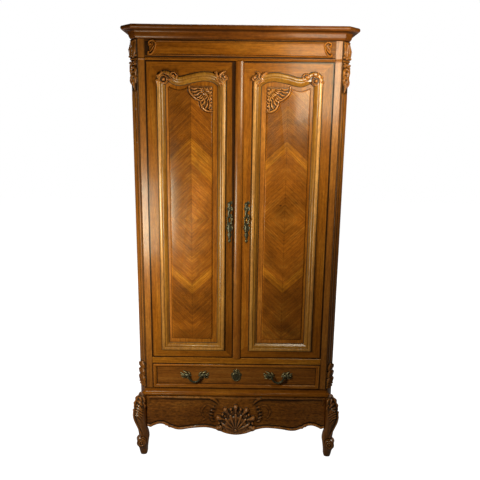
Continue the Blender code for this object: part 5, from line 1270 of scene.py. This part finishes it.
def legLevels():
    hip, knee, inner = leg["hip"], leg["knee"], case["legInner"]
    high = case["baseLow"] - gap
    rows = [(hip + (high - hip) * t, case["half"] + share * knee, inner) for t, share in leg["kneeRows"]]
    share, bulge, narrow = leg["calf"]
    rows.append((share * hip, case["half"] + bulge * knee, inner - narrow))
    return smoothLine(rows + [(share * hip, outer, inner) for share, outer, inner in leg["footRows"]], 11)


def legStrokes():
    rows = [*leg["leaves"]]
    rows += [(line, (0.5 * size, size, 0.5 * size), (6, 9.5, 5)) for *line, size in leg["curls"]]
    for k, reach in enumerate(leg["flutes"]):
        z = 290 - 12.8 * k
        rows.append((((-10, z), (-26, z - 5), (-reach, z - 24)), (3.2, 4.4, 2.5), (5.5, 7, 3)))
    for k in range(leg["veins"]):
        z = 224 - 16 * k
        rows.append((((-14, z), (-28, z - 18), (-38 + 3 * k, z - 44)), (2.5, 4, 2), (2.5, 3.4, 1.5)))
    rim = ovalLine((-0.0225, 0.079), 0.0275, -60, 240, 30)
    return tableStrokes({"strokes": rows}) + [lineStroke(rim, mm((3, 3.6, 3)), mm((3, 4, 3)), mode="cut")]


def legScroll(side):
    lean = math.radians(leg["scrollTurn"])
    across = np.array((side * math.sin(lean), math.cos(lean), 0.0))
    outward = np.array((side * math.cos(lean), -math.sin(lean), 0.0))
    upward = np.array((0.0, 0.0, 1.0))
    middle = np.array(leg["scrollSpot"]) * np.array((side, 1.0, 1.0))
    circle = ovalLine((0.0, 0.0), leg["scrollRadius"], 0, 360, 41)[:-1]
    parts = [loftPart([[middle + across * leg["scrollLength"] * t + (outward * x + upward * z) * size
                        for x, z in circle] for t, size in leg["scrollRings"]])]
    disc = ovalLine((0.0, 0.0), leg["disc"], 0, 360, 41)[:-1]
    curl = [area(disc, leg["discHigh"], leg["discHigh"]), pearl(*mm(leg["eye"])),
            scroll((0, 0), *leg["endCurl"], -leg["endTurn"] * side, mm(leg["endWide"]), mm(leg["endHigh"]))]
    for way in (-1, 1):
        def onEnd(x, z, h):
            return (middle + across * way * (0.5 * leg["scrollLength"] + h[:, None]) + outward * x[:, None]
                    + upward * z[:, None])
        parts.append(reliefPart(curl, leg["endStep"], onEnd, leg["endDepth"], outline=0.0))
    return parts


def buildLeg(side, hand):
    levels = legLevels()
    angles = np.linspace(-math.pi, math.pi, leg["sides"], endpoint=False)
    height = carve(*np.meshgrid(angles * leg["spread"], levels[:, 0]), legStrokes(), 0.0)
    rings = []
    for rise, (z, outer, inner) in zip(height, levels):
        mid, radius = (outer + inner) / 2, (outer - inner) / 2
        y = case["front"] + case["half"] - mid
        thin = leg["thin"] * min(1.0, z / leg["thinFrom"])
        reach = radius * (1 + leg["corners"] * np.cos(4 * angles)) + rise - thin
        xs = np.minimum(mid + reach * np.cos(angles - math.pi / 4), leg["out"])
        ys = np.maximum(y + reach * np.sin(angles - math.pi / 4), leg["front"])
        rings.append(np.stack([side * xs, ys, np.full(len(angles), z)], 1))
    parts = [loftPart(rings, recessOf(height, leg["shadeDepth"], leg["shadeRounds"]))]
    front, opening, inner = case["front"], case["opening"], case["legInner"]
    flank = case["half"] + post["proud"]
    rebate = front + apron["thick"] + gap
    rear = [(flank, front + flank - inner), (flank, case["postBack"]), (opening, case["postBack"])]
    for plan, ends in (([(opening, front), (inner, front)], (case["baseLow"] - leg["blockLap"], case["baseTop"])),
                       ([(opening, rebate), (inner, rebate), (inner, front)], (leg["blockLow"], case["baseLow"]))):
        parts.append(loftPart([[(side * x, y, z) for x, y in plan + rear] for z in ends]))
    addPiece(hand.capitalize() + "FrontLeg", "carcase", parts + legScroll(side), ["leg"],
             (hand + "_front_leg",), sharp=60)


for side, hand in hands:
    buildLeg(side, hand)
print("stage: legs")

# brass: tall door escutcheons, drawn in mm from the keyhole
escutcheon = {"offset": 0.040, "key": 1.240, "drop": 0.005, "full": 1.55, "step": 0.0009,
              "ring": (0.0086, 0.0205),  # leaves room for the key
              "sides": ((-1, -6), (1, 4)), "leaves": ((20, 10, 0), (4, 10.5, 2), (-13, 9.5, 0))}
escutcheonCarving = {
    "strokes": (
        (((1, 20), (-3, 34), (1, 48)), (5, 4.2, 4.8), (4, 4, 4.5)),
        (((0, 46), (-7, 56), (-4, 68)), (3, 4.5, 2), (3, 5.5, 3), "gouge"),
        (((2, 46), (8, 54), (5, 66)), (3, 4.5, 2), (3, 5.5, 3), "gouge"),
        (((0, 60), (-1, 72), (3, 84), (8.5, 86.5), (10, 80)), (4.5, 4.2, 4.6, 3.5, 2), (4, 4.5, 5, 4, 3)),
        (((-3, 70), (-7, 78), (-4, 86)), (2, 3, 1), (3, 4, 2)),
        (((0, -18), (-1, -34), (0, -46)), (6, 4.2, 5.5), (4.5, 4, 4.5)),
        (((0, -54), (1, -72), (0, -90)), (4, 5.2, 2.5), (4, 4.5, 3)),
        (((0, -100), (1, -106.5)), (3, 1.5), (4, 2))),
    "bothStrokes": ((((2, -24), (10, -34), (9.5, -45)), (3, 4.2, 1.5), (3, 5, 2), "gouge"),
                    (((2, -58), (6, -68), (4, -80)), (2, 2.8, 1), (3, 4, 2))),
    "pearls": ((1, 57.5, 4.5, 6.5), (0, -50, 6.2, 6), (0, -97, 5, 5.5)),
}


def escutcheonStrokes():
    rows = []
    for way, lift in escutcheon["sides"]:
        for drop, reach, more in escutcheon["leaves"]:
            foot = drop + lift
            rows.append((((7 * way, foot + 4), ((reach + more * way) * way, foot - 2), (8.5 * way, foot - 12)),
                         (1.8, 2.6, 1.2), (4, 6.5, 3)))
    ring = lineStroke(ovalLine((0.0, 0.0), escutcheon["ring"], 0, 360, 40), mm((2.2, 3.6, 2.2, 3.6, 2.2)),
                      mm((4, 4.5, 4, 4.5, 4)))
    items = [ring, *tableStrokes({"strokes": rows}), *tableStrokes(escutcheonCarving)]
    return [{**item, "wide": [value * escutcheon["full"] for value in item["wide"]]} for item in items]


def addBrass(name, body, strokes, step, y, look, replaced, extra=()):
    addPiece(name, body, [reliefPart(strokes, step, onFront(y), outline=0.0), *extra], [look],
             (replaced,), sharp=60)


for side, hand in hands:
    spot = (side * escutcheon["offset"], escutcheon["key"] - escutcheon["drop"])
    addBrass(hand.capitalize() + "DoorEscutcheon", hand + "_door", shiftStrokes(escutcheonStrokes(), *spot),
             escutcheon["step"], case["front"], "brassDark", hand + "_door_escutcheon")

# brass: drawer escutcheon, leaf rosettes and bails
pull = {
    "z": 0.44325, "y": -0.226, "field": -0.210, "offset": 0.209, "spread": 0.052, "drop": 0.039, "step": 0.0010,
    "leaves": (((-24, -3), (-8, 2), (6, 3), (19, 12), 7.5), ((-8, 3), (-5, 11), (2, 16), (8, 19), 5.5),
               ((-6, -2), (2, -8), (9, -10), (16, -9), 5.8), ((-16, -2), (-14, -9), (-9, -13), (-4, -15), 5.0),
               ((-21, 0), (-20, 7), (-16, 12), (-11, 14), 4.6), ((4, 0), (11, 1), (16, 2), (19.5, 3), 5.0)),  # mm
    "boss": (0, 0, 7.5, 9), "plate": ((0.0, -0.008), (0.0165, 0.021)), "plateHigh": 0.0042, "plateEdge": 0.005,
    "stalk": ((6.2, 0), (6.2, 6), (5.0, 9), (5.2, 12.5), (6.2, 15.5), (5.8, 18.5), (3.0, 20.8)),  # radius, out
    "arm": ((-1.08, 0.0), (-0.86, 0.02), (-0.68, 0.04), (-0.57, -0.08), (-0.53, -0.26), (-0.42, -0.56), (-0.22, -0.76),
            (0.0, -0.83)),  # shares of spread and drop
    "girth": ((0, 2.6), (0.10, 2.8), (0.22, 4.2), (0.34, 5.4), (0.44, 4.6), (0.485, 4.6), (0.5, 6.2)),  # along, radius
}
plateCarving = {
    "bothStrokes": ((((4, 16), (14, 12), (23, 4), (24.5, -4)), (3, 5, 4.5, 1.5), (5, 7.5, 7, 3), "gouge"),
                    (((16, 2), (19, -12), (11, -26), (2, -31)), (3, 4.2, 4, 2), (5, 6, 6, 4)),
                    (((3, 14), (12, 24), (9, 30)), (3, 4.5, 1.5), (5, 7, 3), "gouge")),
    "strokes": ((((0, 12), (0, 26), (1, 33.5)), (4, 5, 1.5), (6, 8, 3)),),
    "pearls": ((0, 13, 5.5, 9), (0, -31, 3.5, 6)),
}


def plateStrokes():
    ground = area(ovalLine(*pull["plate"], 0, 360, 33)[:-1], pull["plateHigh"], pull["plateEdge"])
    keyhole = stroke(mm(((0, -2), (0, -13))), mm((3.5, 2.2)), mm((3, 3)), mode="cut")
    return shiftStrokes([ground, *tableStrokes(plateCarving), keyhole], 0.0, pull["z"])


def rosetteStrokes(way):
    rows = [([(way * (1.2 * x - 3), 1.2 * z - 1) for x, z in line], (0.5 * size, size, 0.8 * size, 1.4),
             (5.5, 10.5, 9, 3)) for *line, size in pull["leaves"]]
    return tableStrokes({"strokes": rows, "pearls": [pull["boss"]]})


def buildPull(side, hand):
    middle, z, spread = side * pull["offset"], pull["z"], pull["spread"]
    for way, tag in hands:
        x = middle + way * spread
        stalk = spinPart((x, pull["field"], z), (0, -1, 0), mm(pull["stalk"]))
        addBrass(hand.capitalize() + "Pull" + tag.capitalize() + "Rosette", "drawer",
                 shiftStrokes(rosetteStrokes(way), x, z), pull["step"], pull["field"], "brass",
                 hand + "_pull_" + tag + "_rosette", [stalk])
    arm = np.array(pull["arm"])
    path = smoothLine(np.concatenate([arm, arm[-2::-1] * np.array((-1.0, 1.0))]))
    along = np.linspace(0, 1, len(path))
    points = np.stack([middle + spread * path[:, 0], np.full(len(path), pull["y"]), z + pull["drop"] * path[:, 1]], 1)
    stops, girth = zip(*pull["girth"])
    stops, girth = [*stops, *(1 - stop for stop in stops[-2::-1])], [*girth, *girth[-2::-1]]
    addPiece(hand.capitalize() + "PullBail", hand + "_bail", [tubePart(points, mm(np.interp(along, stops, girth)))],
             ["brass"], (hand + "_pull_bail",), sharp=60)


addBrass("DrawerEscutcheon", "drawer", plateStrokes(), pull["step"], pull["field"], "brass", "drawer_escutcheon")
for side, hand in hands:
    buildPull(side, hand)
print("stage: brass")

# floor, light and camera
view = {"spot": (0.0102, -2.622, 1.673), "tilt": 77.55, "roll": 0.72, "lens": 39.0}
lights = {  # spot, aim, size, power, colour
    "leftLamp": ((-0.62, -0.99, 1.10), (-0.62, 0.0, 1.12), (0.24, 0.44), 9.0, (1.0, 0.98, 0.92)),
    "rightLamp": ((0.46, -0.84, 1.93), (0.44, 0.0, 1.90), (0.34, 0.44), 7.0, (1.0, 0.97, 0.92)),
    "topLamp": ((0.0, 0.45, 3.2), (0.0, 0.25, 2.1), (1.2, 0.6), 16, (1.0, 0.98, 0.95)),
    "rearLeft": ((-2.4, 2.7, 2.0), (0.0, 0.1, 1.1), (1.6, 1.6), 60, (1.0, 0.98, 0.95)),
    "rearRight": ((2.4, 2.7, 2.0), (0.0, 0.1, 1.1), (1.6, 1.6), 60, (1.0, 0.98, 0.95)),
}
studio = {"reach": 9.0, "floorTone": (0.30, 0.33), "floorRough": 0.9, "floorShine": 0.1, "fill": 0.02}


def addHolder(name, data):
    holder = bpy.data.objects.new(name, data)
    bpy.context.scene.collection.objects.link(holder)
    return holder


def seenAs(tree, other, direct):  # one value for the camera, another for all other rays
    return ranged(tree, addNode(tree, "ShaderNodeLightPath").outputs["Is Camera Ray"], 0.0, 1.0, other, direct)


def buildStage():
    far = studio["reach"]
    mesh = bpy.data.meshes.new("studioFloor")
    mesh.from_pydata([(-far, -far, 0), (far, -far, 0), (far, far, 0), (-far, far, 0)], [], [(0, 1, 2, 3)])
    material, tree, shader = newMaterial("paleFloor")
    tone = ranged(tree, noise(tree, objectSpot(tree), 3.0, 3.0), 0.3, 0.7, *studio["floorTone"])
    fillSockets(tree, shader, {
        "Base Color": greyOf(tree, tone), "Roughness": studio["floorRough"],
        "Specular IOR Level": studio["floorShine"], "Emission Color": (1.0, 1.0, 1.0, 1),
        "Emission Strength": seenAs(tree, 0.0, 1.0)})
    mesh.materials.append(material)
    floor = addHolder("studioFloor", mesh)
    world = bpy.data.worlds.new("studioWorld")
    bpy.context.scene.world = world
    world.use_nodes = True
    tree = world.node_tree
    fillSockets(tree, tree.nodes["Background"], {"Color": (1.0, 1.0, 1.0, 1),
                                                 "Strength": seenAs(tree, studio["fill"], 1.0)})
    for name, (spot, aim, size, power, colour) in lights.items():
        lamp = bpy.data.lights.new(name, "AREA")
        lamp.shape = "RECTANGLE"
        lamp.size, lamp.size_y = size
        lamp.energy = power
        lamp.color = colour
        holder = addHolder(name, lamp)
        holder.location = spot
        holder.rotation_euler = (Vector(aim) - Vector(spot)).to_track_quat("-Z", "Y").to_euler()
        holder.visible_camera = False


def buildCamera():
    lens = bpy.data.cameras.new("photoCamera")
    lens.lens = view["lens"]
    lens.sensor_width = 36.0
    holder = addHolder("photoCamera", lens)
    tilt, roll = math.radians(view["tilt"]), math.radians(view["roll"])
    turn = Matrix.Rotation(tilt, 4, "X") @ Matrix.Rotation(roll, 4, "Z")
    holder.matrix_world = Matrix.Translation(view["spot"]) @ turn
    bpy.context.scene.camera = holder


buildStage()
buildCamera()
bpy.context.scene.view_settings.view_transform = "Standard"
print("stage: floor, light and camera")
